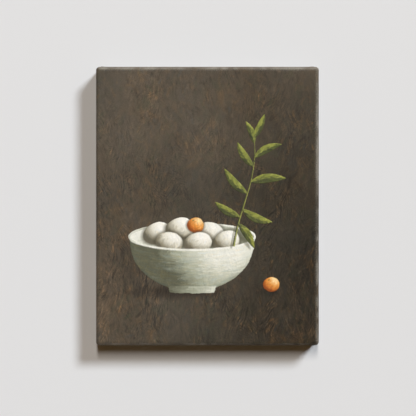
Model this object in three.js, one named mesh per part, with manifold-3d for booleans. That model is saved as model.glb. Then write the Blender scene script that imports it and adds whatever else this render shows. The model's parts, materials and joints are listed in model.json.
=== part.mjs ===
// A small stretched canvas picture, hung on a wall by a sawtooth hanger.
// Millimetres, +Z up, the painted front towards -Y. The wall is the plane y = 0, and the origin is
// the point where the wall's hook meets the middle notch of the hanger. A "distance" below is
// measured off the wall, towards the front.

import * as THREE from 'three';
import { mergeVertices } from 'three/addons/utils/BufferGeometryUtils.js';
import Module from 'manifold-3d';

const wasm = await Module();
wasm.setup();

// Driving dimensions
const width = 203.2; // 8 in across the canvas
const height = 254; // 10 in up the canvas
const gap = 0.25; // between pieces that touch on the real picture
const bar = { width: 28, depth: 30.25, off: 3.25, chamfer: 0.8 };
const lip = { width: 6, drop: 1.5, slope: 2.5 }; // raised edge that the cloth bears on
const cloth = { thick: 0.5, fold: 16, frontRadius: 3.25, cornerRadius: 3.6 };
const tuck = { thick: 0.4, fromSide: 4, fromBack: 2 }; // folded corners on the top and bottom sides
const pad = { reach: 22, fold: 14, inset: 1.5, thick: 0.5 }; // and their ends behind
const mitreGap = 0.2;
const tongue = { thick: 5, room: 0.3, root: 10, backLayer: 7.5, frontLayer: 17.7 };
const slot = { outerRoom: 1, innerRoom: 8.5 }; // room for a key, past the tongue's edge
const key = { thick: 4.5, inSlot: 24, standsOut: 16, corner: 2 };
const wire = { crown: 10.5, leg: 7, thick: 0.55, wide: 1.2, tip: 0.9, room: 0.25 };
const stapleEdge = 8.5; // from the canvas edge
const stapleEnd = 30; // from a corner to the first staple of a side
const cornerStaple = 8;
const stapleSway = { angle: 0.07, along: 1.2, across: 0.8 };
const hanger = { length: 45, tall: 9.5, thick: 0.8, raised: 21, joggle: 2, lift: 1.3, end: 2.5 };
const teeth = { count: 7, pitch: 2.6, depth: 1.6, flat: 0.1 };
const nail = { at: 17.5, hole: 1.1, shank: 0.8, head: 2.2, rim: 0.35, dome: 0.9, length: 10, point: 1.6 };
const bumper = { radius: 4.75, flat: 3.2, straight: 1.4, shoulder: 0.45, fromSide: 40, fromBottom: 22.3 };
const hangDrop = 25.75; // from the canvas's top edge to the hanger's middle notch

// Worked out from them
const frontDistance = bar.off + bar.depth + gap + cloth.thick;
const clothBack = bar.off - gap - cloth.thick;
const outerWidth = width - 2 * (cloth.thick + gap);
const outerHeight = height - 2 * (cloth.thick + gap);
const quarter = Math.PI / 2;
const corners = [[1, 1], [1, -1], [-1, -1], [-1, 1]]; // right or left, up or down
const past = 1; // how far a cutter runs past what it cuts

const colours = {
  paint: [0x57503f, 0.75, 0],
  pine: [0xdcbd8c, 0.7, 0],
  beech: [0xc9a26c, 0.65, 0],
  wire: [0xb4b7ba, 0.35, 1],
  plate: [0xc2b280, 0.4, 1],
  rubber: [0x2b2a29, 0.8, 0],
};

function piece(name, geometry, colour) {
  const [color, roughness, metalness] = colours[colour];
  const mesh = new THREE.Mesh(geometry, new THREE.MeshStandardMaterial({ color, roughness, metalness }));
  mesh.name = name;
  return mesh;
}

// Same draws every time, from 0 to 1
function seededDraw(seed) {
  let state = seed;
  return () => {
    state = (state * 1664525 + 1013904223) % 4294967296;
    return state / 4294967296;
  };
}

// Booleans: a closed geometry becomes a solid, and a solid a geometry again
function solid(geometry) {
  geometry.deleteAttribute('normal');
  geometry.deleteAttribute('uv');
  const merged = mergeVertices(geometry);
  return new wasm.Manifold(new wasm.Mesh({
    numProp: 3,
    vertProperties: Float32Array.from(merged.attributes.position.array),
    triVerts: Uint32Array.from(merged.index.array),
  }));
}

function surface(shape) {
  const mesh = shape.getMesh();
  const geometry = new THREE.BufferGeometry();
  geometry.setAttribute('position', new THREE.BufferAttribute(mesh.vertProperties, 3));
  geometry.setIndex(new THREE.BufferAttribute(mesh.triVerts, 1));
  geometry.computeVertexNormals();
  return geometry;
}

function outline(points) {
  return new THREE.Shape(points.map(([x, y]) => new THREE.Vector2(x, y)));
}

function rectangle(wide, tall) {
  const x = wide / 2;
  const y = tall / 2;
  return outline([[-x, -y], [x, -y], [x, y], [-x, y]]);
}

function roundedRectangle(wide, tall, radius) {
  const x = wide / 2 - radius;
  const y = tall / 2 - radius;
  const shape = new THREE.Shape();
  shape.absarc(x, y, radius, 0, quarter);
  shape.absarc(-x, y, radius, quarter, 2 * quarter);
  shape.absarc(-x, -y, radius, 2 * quarter, 3 * quarter);
  shape.absarc(x, -y, radius, 3 * quarter, 4 * quarter);
  return shape;
}

// An outline in the plane of the picture, solid from one distance to another
function plate(shape, back, front) {
  return new THREE.ExtrudeGeometry(shape, { depth: front - back, bevelEnabled: false, curveSegments: 4 })
    .rotateX(quarter)
    .translate(0, -back, 0);
}

// A block with rounded corners and a rounded front edge, flat behind
function roundedBlock(wide, tall, cornerRadius, frontRadius, back, front) {
  const behind = back - 2 * frontRadius;
  const block = new THREE.ExtrudeGeometry(roundedRectangle(wide, tall, cornerRadius), {
    depth: front - frontRadius - behind,
    bevelThickness: frontRadius,
    bevelSize: frontRadius,
    bevelOffset: -frontRadius,
    bevelSegments: 4,
    curveSegments: 3,
  });
  block.rotateX(quarter).translate(0, -behind, 0);
  return solid(block).intersect(solid(plate(rectangle(2 * wide, 2 * tall), back, front + past)));
}

// How far below the tongue's edge the floor of a slot lies, at a depth from the bar's outer edge
function slotRoom(depth) {
  return slot.outerRoom + (slot.innerRoom - slot.outerRoom) * depth / bar.width;
}

// Staples: a middle, an angle in the plane of the picture and how far the crown sits off the wall
function staplePlaces() {
  const draw = seededDraw(7);
  const sway = (amount) => (2 * draw() - 1) * amount;
  const places = [];
  const side = (length, reach, count, turn) => {
    for (let i = 0; i < count; i += 1) {
      const along = (length / 2 - stapleEnd) * (2 * i / (count - 1) - 1) + sway(stapleSway.along);
      const across = reach / 2 - stapleEdge + sway(stapleSway.across);
      const middle = new THREE.Vector3(along, 0, across).applyAxisAngle(new THREE.Vector3(0, 1, 0), turn);
      places.push({ middle, turn: turn + sway(stapleSway.angle), back: clothBack - gap });
    }
  };
  side(width, height, 5, 0);
  side(height, width, 6, quarter);
  side(width, height, 5, 2 * quarter);
  side(height, width, 6, 3 * quarter);
  for (const [right, up] of corners) {
    const middle = new THREE.Vector3(right * (width / 2 - cornerStaple), 0, up * (height / 2 - cornerStaple));
    const turn = right * up * quarter / 2 + sway(stapleSway.angle);
    places.push({ middle, turn, back: clothBack - pad.thick - gap });
  }
  return places;
}

// A staple with its crown's underside at y = 0 and its pointed legs towards the front
function stapleGeometry() {
  const outer = wire.crown / 2;
  const inner = outer - wire.thick;
  const shape = outline([
    [-outer, wire.thick], [outer, wire.thick], [outer, wire.tip - wire.leg], [inner, -wire.leg],
    [inner, 0], [-inner, 0], [-inner, -wire.leg], [-outer, wire.tip - wire.leg],
  ]);
  return new THREE.ExtrudeGeometry(shape, { depth: wire.wide, bevelEnabled: false })
    .translate(0, 0, -wire.wide / 2);
}

function stapleHoles(places) {
  const deep = wire.leg + 2 * wire.room;
  const holes = [];
  for (const { middle, turn, back } of places) {
    for (const end of [-1, 1]) {
      const hole = new THREE.BoxGeometry(wire.thick + 2 * wire.room, deep, wire.wide + 2 * wire.room)
        .translate(end * (wire.crown - wire.thick) / 2, -deep / 2, 0)
        .rotateY(turn)
        .translate(middle.x, wire.room - back, middle.z);
      holes.push(solid(hole));
    }
  }
  return wasm.Manifold.compose(holes);
}

function nailHoles() {
  const middle = height / 2 - hangDrop - teeth.depth + hanger.tall / 2;
  const holes = [-1, 1].map((side) => solid(
    new THREE.CylinderGeometry(nail.hole, nail.hole, 2 * nail.length, 12)
      .translate(side * nail.at, -bar.off - gap, middle),
  ));
  return wasm.Manifold.compose(holes);
}

// One stretcher bar: its outer edge lies along X at a reach above the middle, then all of it turns
// about Y. Its right end has the tongue in the back layer and the slot in the front one, and its
// left end the other way round, so that four alike bars join in a ring.
function stretcherBar(length, reach, turn, block, holes) {
  const half = length / 2;
  const place = (geometry) => solid(geometry.translate(0, 0, reach).rotateY(turn));
  const front = bar.off + bar.depth;
  const lowFront = front - lip.drop;
  const profile = outline([
    [0, -bar.off - bar.chamfer], [bar.chamfer, -bar.off], [bar.width - bar.chamfer, -bar.off],
    [bar.width, -bar.off - bar.chamfer], [bar.width, lip.slope - lowFront], [lip.width + lip.drop, -lowFront],
    [lip.width, -front], [0, -front],
  ]);
  const stick = new THREE.ExtrudeGeometry(profile, { depth: length, bevelEnabled: false })
    .translate(0, 0, -half)
    .rotateY(quarter);
  const mitre = (depth) => half - depth - mitreGap;
  const inside = bar.width + past;
  const wedge = outline([
    [-mitre(-past), past], [mitre(-past), past], [mitre(inside), -inside], [-mitre(inside), -inside],
  ]);
  let shape = place(stick).intersect(place(plate(wedge, 0, front + past)));
  for (const end of [1, -1]) {
    const [tongueLayer, slotLayer] = end > 0
      ? [tongue.backLayer, tongue.frontLayer]
      : [tongue.frontLayer, tongue.backLayer];
    const tongueShape = outline([
      [end * (half - bar.width - tongue.root), -bar.width], [end * half, -bar.width],
      [end * half, 0], [end * (half - tongue.root), 0],
    ]);
    const tongueBack = bar.off + tongueLayer;
    shape = shape.add(place(plate(tongueShape, tongueBack, tongueBack + tongue.thick)));
    const floor = (depth) => end * (half - bar.width - slotRoom(depth));
    const outside = end * (half + past);
    const slotShape = outline([
      [floor(-past), past], [outside, past], [outside, -inside], [floor(inside), -inside],
    ]);
    const slotBack = bar.off + slotLayer - tongue.room;
    const slotFront = bar.off + slotLayer + tongue.thick + tongue.room;
    shape = shape.subtract(place(plate(slotShape, slotBack, slotFront)));
  }
  return surface(shape.intersect(block).subtract(holes));
}

// A wedge key with its straight edge along X at z = 0 and its tip towards +X. At x = 0 it passes
// the inner edge of the bar whose slot it is in.
function keyGeometry() {
  const slack = gap * Math.hypot(1, (slot.innerRoom - slot.outerRoom) / bar.width); // square to the slope
  const edge = (x) => gap + slack - slotRoom(bar.width - x);
  const shape = outline([
    [-key.standsOut, 0], [key.inSlot, 0], [key.inSlot, edge(key.inSlot)],
    [key.corner - key.standsOut, edge(key.corner - key.standsOut)],
    [-key.standsOut, key.corner + edge(-key.standsOut)],
  ]);
  return plate(shape, -key.thick / 2, key.thick / 2);
}

function canvas(holes) {
  const outer = roundedBlock(width, height, cloth.cornerRadius, cloth.frontRadius, clothBack, frontDistance);
  const inner = roundedBlock(
    width - 2 * cloth.thick, height - 2 * cloth.thick,
    cloth.cornerRadius - cloth.thick, cloth.frontRadius - cloth.thick,
    clothBack + cloth.thick, frontDistance - cloth.thick,
  );
  const opening = rectangle(width - 2 * cloth.fold, height - 2 * cloth.fold);
  let shape = outer.subtract(inner).subtract(solid(plate(opening, 0, clothBack + past)));
  const sunk = cloth.thick / 2;
  for (const [right, up] of corners) {
    const tuckBack = clothBack + tuck.fromBack;
    const tuckReach = frontDistance - cloth.frontRadius - tuckBack;
    const corner = right * (width / 2 - tuck.fromSide);
    const tuckShape = outline([
      [corner, -tuckBack], [corner - right * tuckReach, -tuckBack], [corner, -tuckBack - tuckReach],
    ]);
    const tuckLow = up > 0 ? height / 2 - sunk : -height / 2 - tuck.thick;
    const tuckSolid = new THREE.ExtrudeGeometry(tuckShape, { depth: tuck.thick + sunk, bevelEnabled: false })
      .translate(0, 0, tuckLow);
    const x = (inset) => right * (width / 2 - inset);
    const z = (inset) => up * (height / 2 - inset);
    const padShape = outline([
      [x(pad.inset), z(pad.inset)], [x(pad.inset), z(pad.fold)],
      [x(pad.fold), z(pad.fold)], [x(pad.reach), z(pad.inset)],
    ]);
    const padSolid = plate(padShape, clothBack - pad.thick, clothBack + sunk);
    shape = shape.add(solid(tuckSolid)).add(solid(padSolid));
  }
  return surface(shape.subtract(holes));
}

// The hanger is a strip with its middle raised off the wood. Its lower edge is cut into teeth, and
// the nail or hook in the wall takes one of the notches between them.
function hangerGeometry() {
  const half = hanger.length / 2;
  const rise = hanger.raised / 2;
  const foot = gap - bar.off;
  const strip = outline([
    [-half, foot], [-rise - hanger.joggle, foot], [-rise, foot + hanger.lift],
    [rise, foot + hanger.lift], [rise + hanger.joggle, foot], [half, foot],
    [half, foot + hanger.thick], [rise + hanger.joggle, foot + hanger.thick],
    [rise, foot + hanger.lift + hanger.thick], [-rise, foot + hanger.lift + hanger.thick],
    [-rise - hanger.joggle, foot + hanger.thick], [-half, foot + hanger.thick],
  ]);
  const band = new THREE.ExtrudeGeometry(strip, { depth: hanger.tall, bevelEnabled: false })
    .translate(0, 0, -teeth.depth);
  const middle = hanger.tall / 2 - teeth.depth;
  const ends = plate(roundedRectangle(hanger.length, hanger.tall, hanger.end), 0, bar.off);
  let shape = solid(band).intersect(solid(ends.translate(0, 0, middle)));
  const reach = teeth.depth + past;
  const spread = (teeth.pitch - teeth.flat) / 2 * reach / teeth.depth;
  for (let i = 0; i < teeth.count; i += 1) {
    const x = (i - (teeth.count - 1) / 2) * teeth.pitch;
    const notch = outline([[x - spread, -reach], [x + spread, -reach], [x, 0]]);
    shape = shape.subtract(solid(plate(notch, 0, bar.off)));
  }
  for (const side of [-1, 1]) {
    const hole = new THREE.CylinderGeometry(nail.hole, nail.hole, 2 * bar.off, 12)
      .translate(side * nail.at, -bar.off, middle);
    shape = shape.subtract(solid(hole));
  }
  return surface(shape);
}

// A round-headed nail with its head's underside at y = 0
function nailGeometry() {
  const profile = [
    [0, -nail.length], [nail.shank, nail.point - nail.length], [nail.shank, 0], [nail.head, 0],
    [nail.head, nail.rim], [nail.shank, nail.dome], [0, nail.dome],
  ];
  return new THREE.LatheGeometry(profile.map(([x, y]) => new THREE.Vector2(x, y)), 12);
}

// A rubber bumper that stands on the wood and touches the wall
function bumperGeometry() {
  const base = gap - bar.off;
  const profile = [
    [0, base], [bumper.radius, base], [bumper.radius, base + bumper.straight],
    [(bumper.radius + bumper.flat) / 2, -bumper.shoulder], [bumper.flat, 0], [0, 0],
  ];
  return new THREE.LatheGeometry(profile.map(([x, y]) => new THREE.Vector2(x, y)), 20);
}

const picture = new THREE.Group();
picture.position.z = hangDrop - height / 2;

const places = staplePlaces();
const holes = stapleHoles(places);
const frameBlock = roundedBlock(
  outerWidth, outerHeight, cloth.cornerRadius - cloth.thick - gap, cloth.frontRadius - cloth.thick - gap,
  bar.off - past, bar.off + bar.depth,
);
const woodHoles = holes.add(nailHoles());
const bars = [
  ['top', outerWidth, outerHeight / 2],
  ['right', outerHeight, outerWidth / 2],
  ['bottom', outerWidth, outerHeight / 2],
  ['left', outerHeight, outerWidth / 2],
];
bars.forEach(([side, length, reach], i) => {
  const turn = i * quarter;
  const stick = stretcherBar(length, reach, turn, frameBlock, woodHoles);
  picture.add(piece(`stretcher_bar_${side}`, stick, 'pine'));
  const corner = new THREE.Group();
  corner.rotation.y = turn;
  for (const end of [1, -1]) {
    const layer = end > 0 ? tongue.backLayer : tongue.frontLayer;
    const wedge = piece(`key_${2 * i + (end > 0 ? 1 : 2)}`, keyGeometry(), 'beech');
    wedge.position.set(
      end * (length / 2 - bar.width), -bar.off - layer - tongue.thick / 2, reach - bar.width - gap,
    );
    wedge.rotation.z = end > 0 ? 0 : Math.PI;
    corner.add(wedge);
  }
  picture.add(corner);
});

picture.add(piece('canvas', canvas(holes), 'paint'));

places.forEach(({ middle, turn, back }, i) => {
  const staple = piece(`staple_${String(i + 1).padStart(2, '0')}`, stapleGeometry(), 'wire');
  staple.position.set(middle.x, -back, middle.z);
  staple.rotation.y = turn;
  picture.add(staple);
});

const hanging = new THREE.Group();
hanging.position.z = height / 2 - hangDrop;
hanging.add(piece('sawtooth_hanger', hangerGeometry(), 'plate'));
for (const [side, x] of [['left', -nail.at], ['right', nail.at]]) {
  const pin = piece(`hanger_nail_${side}`, nailGeometry(), 'wire');
  pin.position.set(x, gap - bar.off + hanger.thick + gap, hanger.tall / 2 - teeth.depth);
  hanging.add(pin);
}
picture.add(hanging);

for (const [side, sign] of [['left', -1], ['right', 1]]) {
  const stop = piece(`wall_bumper_${side}`, bumperGeometry(), 'rubber');
  stop.position.set(sign * (width / 2 - bumper.fromSide), 0, bumper.fromBottom - height / 2);
  picture.add(stop);
}

const part = new THREE.Group();
part.add(picture);
export default part;
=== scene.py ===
import json
import math

import bmesh
import bpy
import numpy as np
from mathutils import Matrix, Vector

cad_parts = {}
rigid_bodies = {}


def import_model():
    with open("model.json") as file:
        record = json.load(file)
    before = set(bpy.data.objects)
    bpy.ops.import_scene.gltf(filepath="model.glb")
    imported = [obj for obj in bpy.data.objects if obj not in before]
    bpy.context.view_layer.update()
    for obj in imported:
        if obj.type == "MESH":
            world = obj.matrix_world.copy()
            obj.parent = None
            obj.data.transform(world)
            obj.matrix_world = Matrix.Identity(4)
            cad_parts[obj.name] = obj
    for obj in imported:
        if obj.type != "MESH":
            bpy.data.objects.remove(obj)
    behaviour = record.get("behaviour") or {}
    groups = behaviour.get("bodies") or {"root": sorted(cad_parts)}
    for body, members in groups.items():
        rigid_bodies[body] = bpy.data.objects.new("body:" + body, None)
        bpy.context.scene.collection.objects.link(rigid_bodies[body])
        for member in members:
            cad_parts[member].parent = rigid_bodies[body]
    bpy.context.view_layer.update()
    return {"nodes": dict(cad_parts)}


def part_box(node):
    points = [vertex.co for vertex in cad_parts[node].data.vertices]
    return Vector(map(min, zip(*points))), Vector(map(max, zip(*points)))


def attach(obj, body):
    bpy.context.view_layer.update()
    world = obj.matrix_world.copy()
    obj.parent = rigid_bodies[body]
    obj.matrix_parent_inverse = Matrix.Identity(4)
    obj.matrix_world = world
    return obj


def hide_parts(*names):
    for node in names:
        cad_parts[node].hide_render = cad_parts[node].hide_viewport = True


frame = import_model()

mm = 0.001
canvasLow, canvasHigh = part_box("canvas")
picture = {
    "halfWide": 101.6,
    "halfTall": 127.0,
    "deep": 31.75,
    "front": canvasLow.y / mm,
    "middle": (canvasLow.z + canvasHigh.z) / 2 / mm,
}


# Small helpers for materials. A Flow is what comes out of a node, and a sum with it adds the nodes
# that work it out

class Flow:
    def __init__(self, socket):
        self.socket = socket

    def __add__(self, other):
        return calc("ADD", self, other)

    def __sub__(self, other):
        return calc("SUBTRACT", self, other)

    def __rsub__(self, other):
        return calc("SUBTRACT", other, self)

    def __mul__(self, other):
        return calc("MULTIPLY", self, other)

    def __truediv__(self, other):
        return calc("DIVIDE", self, other)


def toLinear(shade):
    return np.where(shade <= 0.04045, shade / 12.92, ((shade + 0.055) / 1.055) ** 2.4)


def linear(red, green, blue):
    return tuple(float(value) for value in toLinear(np.array([red, green, blue], float) / 255)) + (1.0,)


def plug(socket, value):
    if isinstance(value, Flow):
        socket.id_data.links.new(value.socket, socket)
    else:
        socket.default_value = value


def add(kind, inputs, tree=None, **settings):
    if tree is None:
        tree = next(value.socket.id_data for value in inputs.values() if isinstance(value, Flow))
    made = tree.nodes.new("ShaderNode" + kind)
    for key, value in settings.items():
        setattr(made, key, value)
    for key, value in inputs.items():
        plug(made.inputs[key], value)
    return made


def flow(kind, inputs, output=0, **settings):
    return Flow(add(kind, inputs, **settings).outputs[output])


def calc(operation, *values):
    return flow("Math", dict(enumerate(values)), operation=operation)


def split(value, kind="XYZ"):
    return [Flow(socket) for socket in add("Separate" + kind, {0: value}).outputs]


def spread(value, low, high, toLow=0.0, toHigh=1.0):
    inputs = {"Value": value, "From Min": low, "From Max": high, "To Min": toLow, "To Max": toHigh}
    return flow("MapRange", inputs)


def blend(factor, first, second, kind="MIX"):
    return flow("Mix", {0: factor, 6: first, 7: second}, 2, data_type="RGBA", blend_type=kind)


def wash(colour, value, low, high, share, tone):
    # Lays a tone over the colour where the value goes from low to high
    return blend(spread(value, low, high, 0.0, share), colour, linear(*tone))


def ramp(factor, stops):
    made = add("ValToRGB", {"Fac": factor})
    entries = made.color_ramp.elements
    while len(entries) < len(stops):
        entries.new(0.5)
    for entry, (place, shade) in zip(entries, stops):
        entry.position = place
        entry.color = shade
    return Flow(made.outputs[0])


def moved(point, offset, operation="ADD"):
    return flow("VectorMath", {0: point, 1: offset}, operation=operation)


def noise(point, size, detail=3.0, rough=0.55, distortion=0.0):
    # The size is how many to a metre, or one such number for each axis
    if isinstance(size, tuple):
        point, size = flow("Mapping", {"Vector": point, "Scale": size}), 1.0
    inputs = {"Vector": point, "Scale": size, "Detail": detail, "Roughness": rough, "Distortion": distortion}
    return flow("TexNoise", inputs, "Fac")


def bump(height, distance, strength=1.0, under=None):
    inputs = {"Height": height, "Distance": distance, "Strength": strength}
    if under is not None:
        inputs["Normal"] = under
    return flow("Bump", inputs)


def newMaterial(name, onCloth=False):
    material = bpy.data.materials.new(name)
    material.use_nodes = True
    if onCloth:
        return material, flow("UVMap", {}, tree=material.node_tree, uv_map="cloth")
    return material, flow("TexCoord", {}, "Object", tree=material.node_tree)


def finish(material, inputs):
    shader = material.node_tree.nodes["Principled BSDF"]
    for name, value in inputs.items():
        plug(shader.inputs[name], value)
    return material


# Small helpers for pieces

def newPiece(name, mesh, materials):
    thing = bpy.data.objects.new(name, mesh)
    bpy.context.scene.collection.objects.link(thing)
    for material in materials:
        mesh.materials.append(material)
    return thing


def meshFrom(shape, name):
    mesh = bpy.data.meshes.new(name)
    shape.to_mesh(mesh)
    shape.free()
    return mesh


def readAll(items, key, wide=1, kind=int):
    found = np.zeros(len(items) * wide, kind)
    items.foreach_get(key, found)
    return found.reshape(-1, wide) if wide > 1 else found


def vertsOf(made):
    return [item for item in made if isinstance(item, bmesh.types.BMVert)]


# The stage: a wall that the picture hangs on, a floor far below, and soft light

stage = {
    "wallWide": 9.0,
    "wallTop": 3.4,
    "floor": -0.9,
    "wallTone": (0.80, 0.80, 0.80, 1.0),
    "floorTone": (0.74, 0.73, 0.71, 1.0),
    "backTone": (0.62, 0.62, 0.62, 1.0),
    "ambientTone": (1.0, 0.60, 0.24, 1.0),
    "ambient": 0.078,
    "shine": 0.45,
    "shineFrom": (-0.1, 0.8),
}


def wallPaint(name, tone):
    # It shows on one side only, so the picture can also be looked at from behind
    material, point = newMaterial(name)
    tree = material.node_tree
    stipple = bump(noise(point, 900.0, 4.0), 0.00003, 0.5)
    finish(material, {"Base Color": tone, "Roughness": 0.9, "Specular IOR Level": 0.0, "Normal": stipple})
    facing = flow("NewGeometry", {}, "Backfacing", tree=tree)
    clear = flow("BsdfTransparent", {}, tree=tree)
    paint = Flow(tree.nodes["Principled BSDF"].outputs[0])
    mixed = flow("MixShader", {0: facing, 1: paint, 2: clear})
    plug(tree.nodes["Material Output"].inputs["Surface"], mixed)
    return material


def flatStage(name, corners, material):
    shape = bmesh.new()
    bmesh.ops.create_grid(shape, x_segments=1, y_segments=1, size=0.5)
    low, high = Vector(corners[0]), Vector(corners[1])
    for vert in shape.verts:
        s, t = vert.co.x + 0.5, vert.co.y + 0.5
        x, y = low.x + s * (high.x - low.x), low.y + t * (high.y - low.y)
        vert.co = Vector((x, y, low.z + t * (high.z - low.z)))
    thing = newPiece(name, meshFrom(shape, name), [material])
    return thing


def makeWorld():
    # An even grey for the camera, a weak warm light, and a soft reflection from behind the viewer
    world = bpy.data.worlds.new("room")
    bpy.context.scene.world = world
    world.use_nodes = True
    tree = world.node_tree
    seen = flow("Background", {"Color": stage["backTone"], "Strength": 1.0}, tree=tree)
    felt = flow("Background", {"Color": stage["ambientTone"], "Strength": stage["ambient"]}, tree=tree)
    way = split(flow("TexCoord", {}, "Generated", tree=tree))[1]
    behind = spread(way, *stage["shineFrom"], 0.0, stage["shine"])
    rays = add("LightPath", {}, tree).outputs
    gloss = Flow(rays["Is Glossy Ray"]) * behind
    shine = flow("Background", {"Color": stage["backTone"], "Strength": gloss})
    felt = flow("AddShader", {0: felt, 1: shine})
    mixed = flow("MixShader", {0: Flow(rays["Is Camera Ray"]), 1: felt, 2: seen})
    plug(tree.nodes["World Output"].inputs["Surface"], mixed)


def makeStage():
    half = stage["wallWide"] / 2
    wall = wallPaint("wall_paint", stage["wallTone"])
    back = flatStage("wall", [(-half, 0, stage["floor"]), (half, 0, stage["wallTop"])], wall)
    back.visible_glossy = False
    boards = wallPaint("floor_paint", stage["floorTone"])
    floor = flatStage("floor", [(-half, -half, stage["floor"]), (half, 0, stage["floor"])], boards)
    floor.visible_diffuse = False
    makeWorld()


lamps = {
    "key": {"aim": (-0.585, 1.0, -0.63), "angle": 13.5, "energy": 2.36, "tone": (0.864, 0.927, 1.0)},
    "strip": {
        "distance": 5.0, "low": 0.173, "high": 0.48, "wide": 0.30, "energy": 108.0,
        "tone": (1.0, 0.955, 0.90),
    },
    "edge": {"aim": (-0.68, 0.04, -0.72), "angle": 16.0, "energy": 2.3, "tone": (1.0, 0.96, 0.90)},
    "rear": [
        {"place": (0.9, 1.3, 0.8), "wide": 0.9, "energy": 20.0},
        {"place": (-1.1, 1.2, -0.2), "wide": 1.1, "energy": 9.0},
    ],
}
linked = []  # lamps that light the picture alone


def addLamp(name, kind, energy, tone, place, aim):
    data = bpy.data.lights.new(name, kind)
    data.energy = energy
    data.color = tone
    lamp = bpy.data.objects.new(name, data)
    lamp.location = place
    lamp.rotation_euler = Vector(aim).to_track_quat("-Z", "Y").to_euler()
    bpy.context.scene.collection.objects.link(lamp)
    return lamp


def sunLamp(name, values):
    lamp = addLamp(name, "SUN", values["energy"], values["tone"], (0, 0, 0), values["aim"])
    lamp.data.angle = math.radians(values["angle"])
    return lamp


def panelLamp(name, place, target, wide, tall, energy, tone):
    lamp = addLamp(name, "AREA", energy, tone, place, Vector(target) - Vector(place))
    lamp.data.shape = "RECTANGLE"
    lamp.data.size = wide
    lamp.data.size_y = tall
    return lamp


def makeLamps():
    sunLamp("key_light", lamps["key"])
    strip = lamps["strip"]
    middle = (0, 0, picture["middle"] * mm)
    low, high = strip["low"] * strip["distance"], strip["high"] * strip["distance"]
    place = (0, -strip["distance"], middle[2] + (low + high) / 2)
    panelLamp("strip_light", place, middle, strip["wide"], high - low, strip["energy"], strip["tone"])
    linked.append(sunLamp("edge_light", lamps["edge"]))
    for i, rear in enumerate(lamps["rear"]):
        wide = rear["wide"]
        name = "rear_light_%d" % (i + 1)
        linked.append(panelLamp(name, rear["place"], middle, wide, wide, rear["energy"], (1, 1, 1)))


def linkLamps():
    # The edge and rear lamps light the picture and not the wall, which doesn't shade them either
    group = bpy.data.collections.new("lit_picture")
    for thing in bpy.context.scene.objects:
        if thing.type == "MESH" and thing.name not in ("wall", "floor"):
            group.objects.link(thing)
    for lamp in linked:
        lamp.visible_glossy = lamp.name != "edge_light"
        lamp.data.cycles.max_bounces = 0
        lamp.light_linking.receiver_collection = group
        lamp.light_linking.blocker_collection = group


camera = {"lens": 200.0, "sensor": 36.0, "frameWide": 0.3790, "x": 0.00053, "z": -0.10305}


def makeCamera():
    data = bpy.data.cameras.new("camera")
    data.lens = camera["lens"]
    data.sensor_width = camera["sensor"]
    data.clip_end = 50
    thing = bpy.data.objects.new("camera", data)
    away = camera["frameWide"] * camera["lens"] / camera["sensor"]
    thing.location = (camera["x"], picture["front"] * mm - away, camera["z"])
    thing.rotation_euler = (math.pi / 2, 0, 0)
    bpy.context.scene.collection.objects.link(thing)
    bpy.context.scene.camera = thing


# The painting, worked out on a flat sheet in millimetres before it goes round the bars

cloth = {
    "thick": 0.5,
    "frontRadius": 3.25,
    "cornerRadius": 3.2,
    "backRadius": 0.9,
    "fold": 16.0,
    "across": 196,
    "up": 244,
    "arcRings": 3,
    "sideRings": 19,
    "backRings": 3,
    "foldRings": 9,
}
cloth["side"] = picture["deep"] - cloth["frontRadius"] - cloth["backRadius"]
cloth["toBack"] = cloth["frontRadius"] * math.pi / 2 + cloth["side"]
cloth["toFold"] = cloth["toBack"] + cloth["backRadius"] * math.pi / 2
cloth["path"] = cloth["toFold"] + cloth["fold"] - cloth["backRadius"]
cloth["flatWide"] = 2 * (picture["halfWide"] - cloth["frontRadius"] + cloth["path"])
cloth["flatTall"] = 2 * (picture["halfTall"] - cloth["frontRadius"] + cloth["path"])

easel = {"step": 0.4, "margin": 1.5, "gain": 1.074}
easelWide, easelTall = (cloth[key] / 2 + easel["margin"] for key in ("flatWide", "flatTall"))
easelX = np.arange(-easelWide, easelWide, easel["step"])
easelZ = np.arange(-easelTall, easelTall, easel["step"])
meshX, meshZ = np.meshgrid(easelX, easelZ)
draw = np.random.default_rng(41)


def unit(value):
    return np.clip(value, 0, 1)


def smooth(value, low, high):
    t = unit((value - low) / (high - low))
    return t * t * (3 - 2 * t)


def near(value, middle, wide):
    return np.exp(-(((value - middle) / wide) ** 2))


def cloud(cell, seed):
    # Soft patches about one cell wide, from -1 to 1
    local = np.random.default_rng(seed)
    rows = int(len(easelZ) * easel["step"] / cell) + 3
    cols = int(len(easelX) * easel["step"] / cell) + 3
    table = local.uniform(-1, 1, (rows, cols))
    x = (easelX - easelX[0]) / cell
    z = (easelZ - easelZ[0]) / cell
    i, j = x.astype(int), z.astype(int)
    s, t = smooth(x - i, 0, 1)[None, :], smooth(z - j, 0, 1)[:, None]
    low = table[np.ix_(j, i)] * (1 - s) + table[np.ix_(j, i + 1)] * s
    high = table[np.ix_(j + 1, i)] * (1 - s) + table[np.ix_(j + 1, i + 1)] * s
    return low * (1 - t) + high * t


def newLayer(tone):
    return {"tone": tone.copy(), "lift": np.zeros(meshX.shape), "cover": np.zeros(meshX.shape)}


def window(x, z, reach):
    step = easel["step"]
    left = max(int((x - reach - easelX[0]) / step), 0)
    right = min(int((x + reach - easelX[0]) / step) + 2, len(easelX))
    low = max(int((z - reach - easelZ[0]) / step), 0)
    high = min(int((z + reach - easelZ[0]) / step) + 2, len(easelZ))
    return slice(low, high), slice(left, right)


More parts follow.
